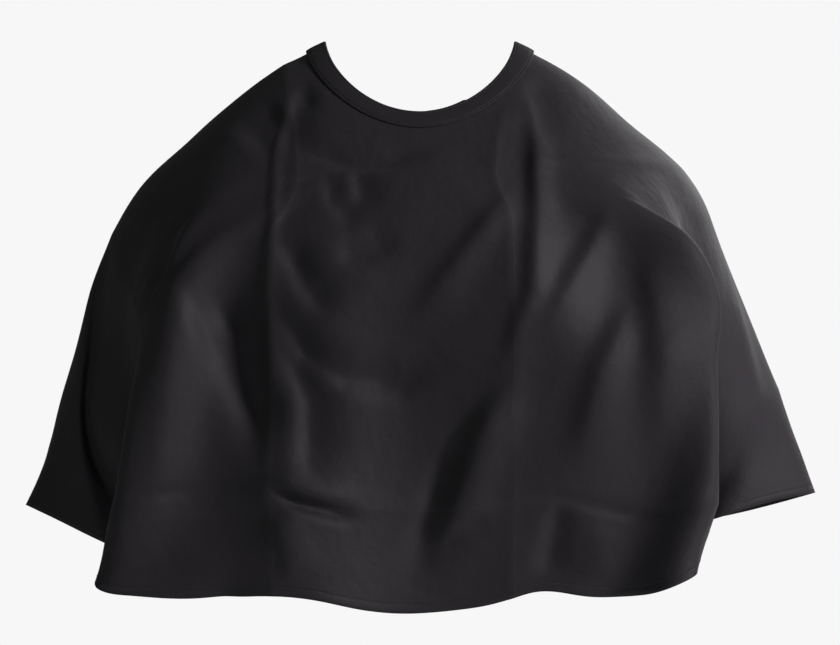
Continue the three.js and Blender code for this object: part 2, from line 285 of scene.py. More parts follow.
def guideTargets(flat):                  # vertex number -> (weight, target)
    found = {}
    for line in drape["arranged"]:
        for (startFlat, startPlace), (endFlat, endPlace) in zip(line, line[1:]):
            a, b = np.array(startFlat), np.array(endFlat)
            along = b - a
            span = np.linalg.norm(along)
            share = ((flat[:, :2] - a) @ along) / span ** 2
            away = np.linalg.norm(flat[:, :2] - a - np.clip(share, 0, 1)[:, None] * along, axis=1)
            for v in np.where((away < drape["guideReach"]) & (share > -.04) & (share < 1.04))[0]:
                weight = drape["guideWeight"] * (1 - .5 * away[v] / drape["guideReach"])
                if line[0][0] == startFlat:          # a soft start, so that no dimple forms
                    weight *= .35 + .65 * min(1, max(0, share[v]) / .6)
                place = np.array(startPlace) * (1 - share[v]) + np.array(endPlace) * share[v]
                if v not in found or found[v][0] < weight:
                    found[int(v)] = (float(weight), place)
    return found


def keyValue(owner, prop, keys):
    for number, value in keys:
        setattr(owner, prop, value)
        owner.keyframe_insert(prop, frame=number)


def drapeCape(flat, quads):
    start = np.column_stack([flat[:, 0], flat[:, 1], np.full(len(flat), .02)])
    mesh = bpy.data.meshes.new("capeDrape")
    mesh.from_pydata(start.tolist(), [], quads)
    sheet = bpy.data.objects.new("capeDrape", mesh)
    scene.collection.objects.link(sheet)
    radius = np.hypot(flat[:, 0], flat[:, 1])
    collar = np.where(radius < holeRadius + .006 + .5 * capeCut["cell"])[0]
    guides = guideTargets(flat)
    worn, fallen = start.copy(), start.copy()
    worn[collar] = fallen[collar] = wornPoints(flat)[collar]
    for v, (_, place) in guides.items():
        worn[v] = place
        fallen[v] = (start[v, 0] * .88, start[v, 1] * .80, -.20)
    pins = sheet.vertex_groups.new(name="pins")
    pins.add(collar.tolist(), 1, "REPLACE")
    for v, (weight, _) in guides.items():
        pins.add([v], weight, "REPLACE")
    sheet.shape_key_add(name="Basis")
    for name, places in (("worn", worn), ("fallen", fallen)):
        key = sheet.shape_key_add(name=name, from_mix=False)
        key.data.foreach_set("co", places.ravel())
    wornKey, fallenKey = (mesh.shape_keys.key_blocks[name] for name in ("worn", "fallen"))
    lowered, arranged = drape["lowerBy"], drape["arrangeBy"]
    keyValue(fallenKey, "value", ((1, 0), (lowered, 1), (lowered + 2, 1), (arranged, 0)))
    keyValue(wornKey, "value", ((1, 0), (lowered + 2, 0), (arranged, 1)))
    for curve in mesh.shape_keys.animation_data.action.fcurves:
        for point in curve.keyframe_points:
            point.interpolation = "LINEAR"
    cloth = sheet.modifiers.new("cloth", "CLOTH")
    settings = cloth.settings
    settings.quality, settings.mass = 5, drape["mass"]
    settings.tension_stiffness = settings.compression_stiffness = drape["stretch"]
    settings.shear_stiffness, settings.bending_stiffness = drape["shear"], drape["bending"]
    settings.tension_damping = settings.compression_damping = settings.shear_damping = 3
    settings.bending_damping, settings.air_damping = .5, drape["air"]
    settings.vertex_group_mass = "pins"
    keyValue(settings, "pin_stiffness", (
        (1, drape["guidePull"]), (drape["letGo"], drape["guidePull"]),
        (drape["letGo"] + 6, drape["guideRest"])))
    contact = cloth.collision_settings
    contact.use_collision = contact.use_self_collision = True
    contact.distance_min = contact.self_distance_min = drape["gap"]
    contact.collision_quality, contact.self_friction = 2, 5
    last = drape["frames"] + 1
    cloth.point_cache.frame_start, cloth.point_cache.frame_end = 1, last
    scene.frame_end = last
    form = makeShoulders()
    for number in range(1, last):
        scene.frame_set(number)
    draped = appliedMesh(sheet)
    places = np.empty(len(draped.vertices) * 3)
    draped.vertices.foreach_get("co", places)
    for piece in (sheet, form):
        bpy.data.objects.remove(piece)
    scene.frame_set(1)
    return places.reshape(-1, 3)


flatPoints, capeQuads = cutCape(capeCut["cell"])
snapRim(flatPoints, capeQuads, capeCut["cell"])
drapedPoints = drapeCape(flatPoints, capeQuads)
print("cape draped:", len(flatPoints), "points")


# small makers

def makePiece(name, points, faces, smooth=True):
    mesh = bpy.data.meshes.new(name)
    mesh.from_pydata(np.asarray(points, float).tolist(), [], faces)
    mesh.update()
    mesh.polygons.foreach_set("use_smooth", [smooth] * len(mesh.polygons))
    piece = bpy.data.objects.new(name, mesh)
    scene.collection.objects.link(piece)
    return piece


def pointsOf(mesh):
    places = np.empty(len(mesh.vertices) * 3)
    mesh.vertices.foreach_get("co", places)
    return places.reshape(-1, 3)


def normalsOf(mesh):
    found = np.empty(len(mesh.vertices) * 3, np.float32)
    mesh.vertex_normals.foreach_get("vector", found)
    return found.reshape(-1, 3).astype(float)


def keepAttribute(mesh, name, kind, values):
    attribute = mesh.attributes.new(name, kind, "POINT")
    field = "vector" if kind == "FLOAT_VECTOR" else "value"
    attribute.data.foreach_set(field, np.asarray(values, np.float32).ravel())


def faceOutward(piece):
    bm = bmesh.new()
    bm.from_mesh(piece.data)
    bmesh.ops.recalc_face_normals(bm, faces=bm.faces)
    bm.to_mesh(piece.data)
    bm.free()


def tubeFaces(stations, corners):        # the sides and both ends of a swept section
    faces = []
    for station in range(stations - 1):
        for corner in range(corners):
            a, b = station * corners + corner, station * corners + (corner + 1) % corners
            faces.append((a, b, b + corners, a + corners))
    faces.append(tuple(range(corners))[::-1])
    faces.append(tuple((stations - 1) * corners + corner for corner in range(corners)))
    return faces


def sweptPiece(name, angles, depth, offset, along):   # one closed section at each station
    stations, corners = depth.shape
    points = layerPoints(np.repeat(angles[:, None], corners, 1), depth, offset)
    piece = makePiece(name, points.reshape(-1, 3), tubeFaces(stations, corners))
    place = np.stack([np.repeat(along[:, None], corners, 1), depth, 0 * depth], -1)
    keepAttribute(piece.data, "bandPlace", "FLOAT_VECTOR", place)
    faceOutward(piece)
    return piece


# cape cloth: the drape is trimmed, made finer, then creased and folded

capeCloth = {
    "thickness": .00045, "levels": 2,
    # the front hem, and the front's two folded edges, seen from in front: across, height
    "frontHem": [
        (-.272, -.4438), (-.264, -.453), (-.202, -.458), (-.120, -.4545), (-.078, -.4595),
        (-.058, -.466), (-.0165, -.471), (.025, -.468), (.066, -.462), (.0865, -.4515),
        (.107, -.4495), (.128, -.4555), (.148, -.457), (.190, -.4545), (.210, -.448),
        (.2365, -.4325)],
    "panelEdges": [
        [(-.2142, -.166), (-.2348, -.2485), (-.2472, -.310), (-.2579, -.376), (-.2678, -.4175),
         (-.2719, -.4438)],
        [(.2266, -.137), (.2472, -.2527), (.2489, -.368), (.239, -.409), (.2324, -.430)]],
    # the two outer edges as they are seen from the front: height, reach left, reach right
    "sideEdges": [
        (-.018, .117, .109), (-.038, .152, .142), (-.057, .176, .172), (-.080, .199, .197),
        (-.104, .224, .219), (-.129, .241, .236), (-.154, .254, .249), (-.203, .274, .270),
        (-.253, .292, .289), (-.302, .307, .307), (-.352, .323, .325), (-.366, .328, .329)],
    "seenFrom": 2.0, "eyeHeight": -.23, "mapSize": 1.2,      # metres of cut to the whole map
    "smoothing": 4, "leavesBandOver": .10, "leavesShoulderOver": .17,
    "tipDrop": (.013, .002), "tuckIn": .22,
    "sideHemLevels": (-.425, -.398), "gentleSide": 1.8,
    # packing creases in the flat cut: which axis they cross, where, height, reach
    "packing": [
        ("x", -.121, .0022, .016), ("x", .072, .0024, .014), ("x", -.311, .0014, .014),
        ("x", .262, .0014, .014), ("x", -.490, .0012, .014), ("x", .452, .0012, .014),
        ("y", -.138, -.0016, .007), ("y", -.410, .0022, .014), ("y", .150, .0014, .012),
        ("y", .430, .0014, .012)],
    "packingWaviness": .0025,
    # soft folds on the front, as seen from in front: path (across, height), width, height
    "frontFolds": {
        "besideNeckRight": ([(.091, -.026), (.095, -.071), (.096, -.129), (.093, -.203),
            (.081, -.240), (.064, -.282)], .0075, .0062),
        "neckRightOuter": ([(.080, -.019), (.099, -.047), (.104, -.088)], .0076, -.0045),
        "acrossChest": ([(.080, -.117), (.048, -.158), (.015, -.203), (-.011, -.240)],
            .0085, .0042),
        "chestLeft": ([(-.113, -.158), (-.095, -.199), (-.070, -.226)], .0085, -.0060),
        "swagUnder": ([(-.125, -.211), (-.095, -.253), (-.058, -.276), (-.016, -.282),
            (.021, -.263)], .0096, -.0065),
        "underCrease": ([(-.077, -.103), (-.072, -.129), (-.048, -.152)], .0068, -.0029),
        "underCreaseRight": ([(-.054, -.100), (-.044, -.139)], .0068, -.0029),
        "chestMiddle": ([(-.073, -.177), (-.043, -.172), (-.015, -.159)], .0085, -.0031),
        "besideCreaseLeft": ([(-.177, -.191), (-.148, -.236), (-.135, -.310),
            (-.133, -.352)], .0128, -.0087),
        "besideCreaseRight": ([(-.119, -.232), (-.091, -.294), (-.089, -.352),
            (-.107, -.372)], .0128, -.0101),
        "longRidge": ([(.081, -.271), (.049, -.327), (.026, -.393), (.010, -.450)], .0128, .0101),
        "besideLongRidge": ([(.041, -.306), (.016, -.368), (-.007, -.450)], .0110, -.0060),
        "rightUpper": ([(.160, -.133), (.122, -.203), (.096, -.254)], .0095, .0055),
        "rightLong": ([(.179, -.203), (.150, -.269), (.128, -.360)], .0115, .0058),
        "rightRidge": ([(.188, -.162), (.201, -.261), (.198, -.360)], .0144, .0072),
        "rightFoot": ([(.117, -.375), (.101, -.446)], .0085, -.0060),
        "rightFootRidge": ([(.148, -.393), (.152, -.450)], .0136, .0031),
        "lowerTuck": ([(-.127, -.367), (-.099, -.380), (-.074, -.386), (-.046, -.393)],
            .0045, -.0085),
        "lowerTuckLip": ([(-.127, -.357), (-.099, -.368), (-.051, -.381)], .0068, .0037),
        "lowerMiddle": ([(.061, -.388), (.037, -.399), (.016, -.427)], .0076, -.0027),
        "neckLeft": ([(-.084, -.026), (-.102, -.055), (-.110, -.100)], .0076, -.0045),
        "neckLeftOuter": ([(-.111, -.051), (-.148, -.084)], .0102, -.0045),
        "footLeft": ([(-.117, -.380), (-.099, -.450)], .0102, .0045),
        "farLeftRidge": ([(-.194, -.162), (-.208, -.294), (-.222, -.434)], .0170, .0060),
        "chestCrease": ([(-.102, -.090), (-.062, -.098), (-.029, -.098), (.016, -.088)],
            .0045, -.0042),
        "chestCreaseRight": ([(.082, -.096), (.148, -.098), (.222, -.101)], .0035, .0018),
        "lowCreaseLeft": ([(-.264, -.375), (-.198, -.370), (-.125, -.365)], .004, -.0022),
        "lowCreaseRight": ([(.064, -.379), (.115, -.375), (.173, -.389), (.241, -.387)],
            .004, -.0026),
        "uprightCreaseLeft": ([(-.101, -.019), (-.119, -.088), (-.125, -.211), (-.129, -.368)],
            .0035, .0022),
        "wedgeLeft": ([(-.204, -.180), (-.173, -.236), (-.144, -.302), (-.130, -.360)],
            .011, -.0055),
    },
    "pucker": .0004, "puckerSpacing": .0085,
    "hemWidth": .008, "stitchInset": .0068,
}


def smoothDrape(flat, places, quads, rounds, holdRim=False):   # takes out small marks
    pairs = np.array(sorted({tuple(sorted((a, b))) for q in quads
                             for a, b in zip(q, q[1:] + q[:1])}))
    rim = np.zeros(len(places), bool)
    rim[list(rimPoints(quads))] = True
    for _ in range(rounds):
        total, count = np.zeros_like(places), np.zeros(len(places))
        for a, b in ((0, 1), (1, 0)):
            use = ~rim[pairs[:, a]] | rim[pairs[:, b]]
            np.add.at(total, pairs[use, a], places[pairs[use, b]])
            np.add.at(count, pairs[use, a], 1)
        mean = total / np.maximum(count, 1)[:, None]
        share = np.where(rim, 0 if holdRim else .25, .5)[:, None]
        places += (mean - places) * share


def trimSides(flat, places):             # brings each outer edge to its line
    radius = np.hypot(flat[:, 0], flat[:, 1])
    sideways = sideShare(flat) * smoothStep((radius - holeRadius - .01) / .05)
    heights, *reaches = np.array(capeCloth["sideEdges"]).T
    for side, reach in zip((-1, 1), reaches):
        ours = (side * flat[:, 0] > 0) & (sideways > .5)
        across = side * places[:, 0]
        scale = []
        for height, target in zip(heights, reach):
            level = ours & (np.abs(places[:, 2] - height) < .012)
            scale.append(target / across[level].max() if level.any() else 1)
        scale = np.clip(np.interp(-places[:, 2], -heights, scale), .82, 1.15)
        places[:, 0] *= np.where(side * flat[:, 0] > 0, 1 + (scale - 1) * sideways, 1)


def dropTips(flat, places):              # the side corners hang lower, the tucks stay inside
    near = smoothStep((np.abs(flat[:, 0]) - .36) / .16)
    near *= smoothStep((.30 - np.abs(flat[:, 1])) / .2)
    left, right = capeCloth["tipDrop"]
    places[:, 2] -= near * np.where(flat[:, 0] < 0, left, right)
    turn = np.abs(flat[:, 0]) / np.hypot(flat[:, 0], flat[:, 1])
    tucked = smoothStep((np.abs(flat[:, 0]) - .29) / .06) * smoothStep((.96 - turn) / .06)
    places[:, 0] *= 1 - capeCloth["tuckIn"] * tucked * smoothStep((-flat[:, 1] - .14) / .08)


def settleAtBand(flat, places):          # the cloth leaves the band along its own slope
    radius = np.hypot(flat[:, 0], flat[:, 1])
    sideways = smoothStep((np.abs(flat[:, 0]) / radius - .25) / .45)
    front, side = capeCloth["leavesBandOver"], capeCloth["leavesShoulderOver"]
    reach = front + (side - front) * sideways
    share = 1 - smoothStep((radius - holeRadius - .006) / reach)
    near = share > 0
    places[near] += (wornPoints(flat[near]) - places[near]) * share[near, None]


def seenFrom(places):                    # across and height at the neck's plane, as seen
    near = 1 + places[:, 1] / capeCloth["seenFrom"]
    eye = capeCloth["eyeHeight"]
    return places[:, 0] / near, eye + (places[:, 2] - eye) / near, near


def sideShare(flat):
    radius = np.hypot(flat[:, 0], flat[:, 1])
    return smoothStep((np.abs(flat[:, 0]) / radius - .72) / .22)


def trimPanel(flat, places):             # brings the front's folded edges to their lines
    for side, line in zip((-1, 1), capeCloth["panelEdges"]):
        targets, heights = np.abs(np.array(line).T)
        across, height, _ = seenFrom(places)
        ours = (side * flat[:, 0] > .12) & (flat[:, 1] < -.12) & (sideShare(flat) < .3)
        scale = []
        for level, target in zip(heights, targets):
            near = ours & (np.abs(height + level) < .014)
            scale.append(target / (side * across[near]).max() if near.any() else 1)
        scale = np.clip(np.interp(-height, heights, scale), .85, 1.15)
        share = (1 - sideShare(flat)) * smoothStep((side * flat[:, 0] - .08) / .12)
        share *= smoothStep((-flat[:, 1] - .08) / .10)
        places[:, 0] *= 1 + (scale - 1) * share


def trimToHem(flat, places):             # evens the front hem to the line it hangs on
    radius = np.hypot(flat[:, 0], flat[:, 1])
    outer = outlineRadius(np.arctan2(flat[:, 0], -flat[:, 1]))
    middle = (flat[:, 1] < 0) & (np.abs(flat[:, 0]) < .262)
    onHem = np.where(middle & (radius > outer - .1 * capeCut["cell"]))[0]
    seenAcross, seenHeight, near = seenFrom(places)
    onHem = onHem[np.argsort(seenAcross[onHem])]
    across, height = np.array(capeCloth["frontHem"]).T
    shift = np.interp(seenAcross[onHem], across, height) - seenHeight[onHem]
    shift = np.convolve(np.pad(shift * near[onHem], 1, "edge"), np.ones(3) / 3, "valid")
    share = smoothStep((radius - holeRadius) / (outer - holeRadius) * 1.6 - .6)
    share *= smoothStep((.36 - np.abs(flat[:, 0])) / .08) * smoothStep(-flat[:, 1] / .1)
    places[:, 2] += np.interp(seenAcross, seenAcross[onHem], shift) * share


def keepBehindFront(places):             # under the side hems nothing shows past the front
    across, height, near = seenFrom(places)
    for side, line, level in zip((-1, 1), capeCloth["panelEdges"], capeCloth["sideHemLevels"]):
        targets, heights = np.abs(np.array(line).T)
        edge = np.interp(-height, heights, targets) - .004
        over = np.clip(side * across - edge, 0, None) * smoothStep((level - height) / .012)
        places[:, 0] -= side * over * near


def foldField(points, path, width):      # steep on one side, and it dies out at both ends
    path = np.array(path)
    steps = np.linalg.norm(np.diff(path, axis=0), axis=1)
    best = np.full(len(points), 9.0)
    side, along, before = np.zeros(len(points)), np.zeros(len(points)), 0.0
    for start, end, step in zip(path, path[1:], steps):
        way = (end - start) / step
        reach = np.clip((points - start) @ way, 0, step)
        apart = points - start - reach[:, None] * way
        gap = np.linalg.norm(apart, axis=1)
        nearer = gap < best
        best[nearer] = gap[nearer]
        side[nearer] = (way[0] * apart[:, 1] - way[1] * apart[:, 0])[nearer]
        along[nearer] = (before + reach)[nearer] / steps.sum()
        before += step
    spread = width * (.8 + .5 * along) * np.where(side > 0, capeCloth["gentleSide"], 1)
    ends = smoothStep(along / .3) * smoothStep((1 - along) / .35)
    return np.exp(-(best / spread) ** 2) * (.06 + .94 * ends) * (ends > 0)


def packingHeight(flatPlace, lines, waviness):
    height = np.zeros(len(flatPlace))
    for axis, where, lift, reach in lines:
        across = flatPlace[:, 0 if axis == "x" else 1]
        along = flatPlace[:, 1 if axis == "x" else 0]
        wander = waviness * (np.sin(along * 23 + where * 40) + .5 * np.sin(along * 61 + where * 90))
        uneven = .75 + .25 * np.sin(along * 17 + where * 70)
        height += lift * uneven * np.exp(-np.abs(across - where - wander) / reach)
    return height


def edgeDistances(flatPlace):
    turn = np.linspace(-math.pi, math.pi, 1600)
    rim = outlineRadius(turn)
    outline = np.stack([rim * np.sin(turn), -rim * np.cos(turn)], -1)
    nearest = np.full(len(flatPlace), 9.0)
    for chunk in np.array_split(np.arange(len(flatPlace)), max(1, len(flatPlace) // 4000)):
        gap = np.linalg.norm(flatPlace[chunk, None, :] - outline[None, :, :], axis=-1)
        nearest[chunk] = gap.min(1)
    slit = np.where(flatPlace[:, 1] > holeRadius, np.abs(flatPlace[:, 0]), 9.0)
    return np.minimum(nearest, slit)


def makeCapeCloth():
    places = drapedPoints.copy()
    smoothDrape(flatPoints, places, capeQuads, capeCloth["smoothing"])
    trimSides(flatPoints, places)
    trimPanel(flatPoints, places)
    trimToHem(flatPoints, places)
    dropTips(flatPoints, places)
    keepBehindFront(places)
    settleAtBand(flatPoints, places)
    smoothDrape(flatPoints, places, capeQuads, 3, holdRim=True)
    settleAtBand(flatPoints, places)
    sheet = makePiece("capeCloth", places, capeQuads)
    layer = sheet.data.uv_layers.new(name="flatCut")
    corner = np.empty(len(sheet.data.loops), int)
    sheet.data.loops.foreach_get("vertex_index", corner)
    flatMap = flatPoints[corner, :2] / capeCloth["mapSize"] + .5
    layer.uv.foreach_set("vector", flatMap.astype(np.float32).ravel())
    finer = sheet.modifiers.new("finer", "SUBSURF")
    finer.levels = finer.render_levels = capeCloth["levels"]
    mesh = appliedMesh(sheet)
    sheet.modifiers.clear()
    sheet.data = mesh
    corner = np.empty(len(mesh.loops), int)
    mesh.loops.foreach_get("vertex_index", corner)
    flatMap = np.empty(len(corner) * 2, np.float32)
    mesh.uv_layers["flatCut"].uv.foreach_get("vector", flatMap)
    flatPlace = np.empty((len(mesh.vertices), 2))
    flatPlace[corner] = (flatMap.reshape(-1, 2) - .5) * capeCloth["mapSize"]
    places, normals = pointsOf(mesh), normalsOf(mesh)
    radius = np.hypot(flatPlace[:, 0], flatPlace[:, 1])
    below = smoothStep((radius - holeRadius - .008) / .02)
    height = packingHeight(flatPlace, capeCloth["packing"], capeCloth["packingWaviness"])
    seen = smoothStep(-flatPlace[:, 1] / .05) * smoothStep((.30 - np.abs(flatPlace[:, 0])) / .05)
    front = np.stack(seenFrom(places)[:2], -1)
    for path, width, lift in capeCloth["frontFolds"].values():
        height += lift * seen * foldField(front, path, width)
    turn = np.arctan2(flatPlace[:, 0], -flatPlace[:, 1])
    ripples = turn * holeRadius / capeCloth["puckerSpacing"]
    ripple = np.sin(ripples * trueTurn + 2 * np.sin(turn * 9))
    underBand = (radius - holeRadius - .0055) / .012
    height += capeCloth["pucker"] * ripple * np.exp(-underBand ** 2) * (underBand > -.5)
    places += normals * (height * below)[:, None]
    mesh.vertices.foreach_set("co", places.ravel())
    mesh.update()
    keepAttribute(mesh, "edgeDistance", "FLOAT", edgeDistances(flatPlace))
    return sheet, flatPlace


cape, clothFlat = makeCapeCloth()
clothPlaces, clothNormals = pointsOf(cape.data), normalsOf(cape.data)
clothFaces = [tuple(face.vertices) for face in cape.data.polygons]
flatLift = [Vector((x, y, 0)) for x, y in clothFlat]
flatTree = BVHTree.FromPolygons(flatLift, clothFaces)


def clothAt(x, y):                       # place and normal of the cloth at a flat point
    hit, _, face, _ = flatTree.ray_cast(Vector((x, y, 1)), Vector((0, 0, -1)))
    if face is None:
        hit, _, face, _ = flatTree.find_nearest(Vector((x, y, 0)))
    corners = list(clothFaces[face])
    weights = np.array(poly_3d_calc([flatLift[c] for c in corners], hit))
    normal = weights @ clothNormals[corners]
    return weights @ clothPlaces[corners], normal / np.linalg.norm(normal)


def outlinePath(inset, spacing, start=0.0):          # flat points along the outer edge
    turn = np.linspace(-math.pi + 1e-4, math.pi - 1e-4, 4000)
    rim = outlineRadius(turn)
    edge = np.stack([rim * np.sin(turn), -rim * np.cos(turn)], -1)
    ahead = np.gradient(edge, axis=0)
    inward = np.stack([-ahead[:, 1], ahead[:, 0]], -1)
    inward /= np.linalg.norm(inward, axis=1, keepdims=True)
    inward *= np.sign(-(inward * edge).sum(1, keepdims=True))
    line = edge + inward * inset
    line = line[np.abs(line[:, 0]) > np.where(line[:, 1] > 0, .0012, -1)]
    walked = np.concatenate([[0], np.cumsum(np.linalg.norm(np.diff(line, axis=0), axis=1))])
    stops = np.arange(start, walked[-1], spacing)
    return np.stack([np.interp(stops, walked, line[:, k]) for k in (0, 1)], -1)


def slitPath(side, inset, spacing, start=0.0):
    stops = np.arange(holeRadius + .008 + start, cutBack - capeCloth["hemWidth"] * 1.2, spacing)
    return np.stack([np.full(len(stops), side * inset), stops], -1)


def onCloth(path, offset):
    found = [clothAt(x, y) for x, y in path]
    places, normals = (np.array(part) for part in zip(*found))
    return places + normals * offset, normals


def hemStrip(name, pathAt):              # the turned-in cloth under an edge
    under = -capeCloth["thickness"]
    rows = []
    for inset, offset in ((.0005, under - .0001), (.0042, under - .0001), (.008, under - .0001),
                          (.0082, under - .0003), (.008, under - .0005), (.0042, under - .0005),
                          (.0005, under - .0005), (.0002, under - .0003)):
        rows.append(onCloth(pathAt(inset), offset)[0])
    stations = min(len(row) for row in rows)
    rows = np.stack([row[np.linspace(0, len(row) - 1, stations).astype(int)] for row in rows], 1)
    piece = makePiece(name, rows.reshape(-1, 3), tubeFaces(stations, rows.shape[1]))
    faceOutward(piece)
    return piece


def stitchRow(name, places, normals, length, radius):   # one small capsule for each stitch
    sides, rings = 5, ((-.5, .35), (-.36, 1), (.36, 1), (.5, .35))
    ahead = np.gradient(places, axis=0)
    ahead /= np.linalg.norm(ahead, axis=1, keepdims=True)
    across = np.cross(normals, ahead)
    points, faces = [], []
    for place, forward, sideways, up in zip(places, ahead, across, normals):
        first = len(points)
        for share, size in rings:
            sunk = radius * (.2 - 2.2 * abs(share) ** 3)
            for k in range(sides):
                turn = trueTurn * k / sides
                ring = sideways * math.cos(turn) + up * math.sin(turn)
                points.append(place + forward * share * length + ring * radius * size + up * sunk)
        for ring in range(len(rings) - 1):
            for k in range(sides):
                a, b = first + ring * sides + k, first + ring * sides + (k + 1) % sides
                faces.append((a, b, b + sides, a + sides))
        faces.append(tuple(first + k for k in range(sides))[::-1])
        faces.append(tuple(first + (len(rings) - 1) * sides + k for k in range(sides)))
    return makePiece(name, points, faces)


sewing = {"pitch": .0032, "length": .0024, "thread": .00017, "bandPitch": .0030}

hemTurn = hemStrip("hemTurn", lambda inset: outlinePath(inset, .005))
slitHemLeft = hemStrip("slitHemLeft", lambda inset: slitPath(-1, inset, .005))
slitHemRight = hemStrip("slitHemRight", lambda inset: slitPath(1, inset, .005))
hemSewing = [
    ("hemStitches", outlinePath(capeCloth["stitchInset"], sewing["pitch"], .002)),
    ("slitStitchesLeft", slitPath(-1, capeCloth["stitchInset"], sewing["pitch"], .002)),
    ("slitStitchesRight", slitPath(1, capeCloth["stitchInset"], sewing["pitch"], .002)),
]
clothStitches = []
for name, path in hemSewing:
    places, normals = onCloth(path, .00008)
    clothStitches.append(stitchRow(name, places, normals, sewing["length"], sewing["thread"]))

thicken = cape.modifiers.new("thickness", "SOLIDIFY")
thicken.thickness, thicken.offset = capeCloth["thickness"], -1
thicken.use_rim = True
thickMesh = appliedMesh(cape)
cape.modifiers.clear()
cape.data = thickMesh
hemPieces = [hemTurn, slitHemLeft, slitHemRight]
for piece in [cape, *hemPieces, *clothStitches]:
    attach(piece, "root")
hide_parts("cape_panel")
print("cape cloth and hems made")


# neck band: an outer ply that rolls over the neck edge, an inner ply and an interlining

neckBand = {
    "stations": 240, "rollRadius": .00095, "plyHalf": .00025, "innerFlange": .0045,
    "stitchDepths": (.0026, .0155), "stitchTops": (.00245, .00220),
}


def plyAlong(centreLine):                # a closed section round a centre line, ends rounded
    line = np.array(centreLine, float)
    ahead = np.gradient(line, axis=0)
    ahead /= np.linalg.norm(ahead, axis=1, keepdims=True)
    side = np.stack([-ahead[:, 1], ahead[:, 0]], -1) * neckBand["plyHalf"]
    tip = neckBand["plyHalf"]
    return np.concatenate([
        line + side, [line[-1] + ahead[-1] * tip], (line - side)[::-1], [line[0] - ahead[0] * tip]])


def foldLine(centreDepth, centreOffset, start, end, steps=7):
    turn = np.radians(np.linspace(start, end, steps))
    radius = neckBand["rollRadius"]
    return [(centreDepth + radius * math.cos(t), centreOffset + radius * math.sin(t)) for t in turn]


bandWidth, middleOffset = layers["bandWidth"], sum(layers["middle"]) / 2
outerOffset, innerOffset = sum(layers["outerPly"]) / 2, sum(layers["innerPly"]) / 2
rollDepth = neckBand["rollRadius"] + neckBand["plyHalf"]

bandAngles = np.linspace(-neckEdge["bandEnd"], neckEdge["bandEnd"], neckBand["stations"])
edgeSteps = np.linalg.norm(np.diff(surfacePoints(bandAngles, 0), axis=0), axis=1)
bandAlong = np.concatenate([[0], np.cumsum(edgeSteps)])


def bandPly(name, section):
    section = np.array(section)
    whole = np.ones((len(bandAngles), 1))
    return sweptPiece(name, bandAngles, whole * section[:, 0], whole * section[:, 1], bandAlong)


outerSection = plyAlong(                 # its lower edge is pressed down on the cloth
    [(.0177, .00168), (.0166, .00176), (.0150, .00196), (.0130, .00212)]
    + [(depth, outerOffset) for depth in (.0100, .0070, .0045, .0026)]
    + foldLine(rollDepth, middleOffset, 90, 270)
    + [(.0026, innerOffset), (neckBand["innerFlange"], innerOffset)])
innerSection = plyAlong(
    [(depth, innerOffset) for depth in (.0052, .0085, .0120, .0155, bandWidth - .0003)])
coreSection = [
    (.0022, .00085), (.0120, .00085), (.0122, .00105), (.0122, .00135), (.0120, .00155),
    (.0022, .00155), (.0020, .00135), (.0020, .00105)]
bandOuter = bandPly("neckBandOuter", outerSection)
bandInner = bandPly("neckBandInner", innerSection)
bandCore = bandPly("neckBandInterlining", coreSection)


def bandStitchRow(name, depth, offset, angles):
    places = layerPoints(angles, np.full(len(angles), depth), np.full(len(angles), offset))
    normals = surfaceNormals(angles, np.full(len(angles), depth))
    return stitchRow(name, places, normals, sewing["length"] * .9, sewing["thread"])


def evenAngles(start, end):
    stops = np.arange(start, end, sewing["bandPitch"])
    return np.interp(stops, bandAlong, bandAngles)


bandRows = [
    bandStitchRow(f"bandStitches{number + 1}", depth, top,
                  evenAngles(.002, bandAlong[-1] - .002))
    for number, (depth, top) in enumerate(zip(neckBand["stitchDepths"], neckBand["stitchTops"]))]
for piece in (bandOuter, bandInner, bandCore, *bandRows):
    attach(piece, "root")
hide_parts("neck_band_outer")
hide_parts("neck_band_inner")
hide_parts("neck_band_interlining")
print("neck band made")


# closure tab: the band's left end, over the slit and on to the right end

closureTab = {
    "start": .0003, "rampMargin": .0004, "firstStudMargin": .0086, "endMargin": .009,
    "snapPitch": .017, "cornerRadius": .005, "stations": 90, "turnOverEnd": .0013,
    "stitchInset": .0026, "bendFrom": .0, "bendTo": .014,
}
probeAngles = np.linspace(-neckEdge["bandEnd"] + .4, -neckEdge["bandEnd"] - 1.3, 3400)
probeSteps = np.linalg.norm(np.diff(surfacePoints(probeAngles, 0), axis=0), axis=1)
probeWalk = np.concatenate([[0], np.cumsum(probeSteps)])
probeWalk -= np.interp(-neckEdge["bandEnd"], probeAngles[::-1], probeWalk[::-1])
bandEnds = surfacePoints(np.array([-1, 1]) * neckEdge["bandEnd"], 0)
bandEndGap = float(np.linalg.norm(bandEnds[0] - bandEnds[1]))
tabRamp = bandEndGap - closureTab["rampMargin"]
firstSnap = bandEndGap + closureTab["firstStudMargin"]
tabLength = firstSnap + closureTab["snapPitch"] + closureTab["endMargin"]


def angleAtWalk(walk):
    return np.interp(walk, probeWalk, probeAngles)


def tabLiftAt(walk):
    start = closureTab["start"]
    return layers["tabLift"] * smoothStep((walk - start) / (tabRamp - start))


def tabHalfHeight(walk, margin):         # half the tab's height, less at the rounded end
    past = np.clip(walk + margin - (tabLength - closureTab["cornerRadius"]), 0, None)
    radius = closureTab["cornerRadius"]
    inset = radius - np.sqrt(np.clip(radius ** 2 - past ** 2, 0, None))
    return bandWidth / 2 - margin - inset


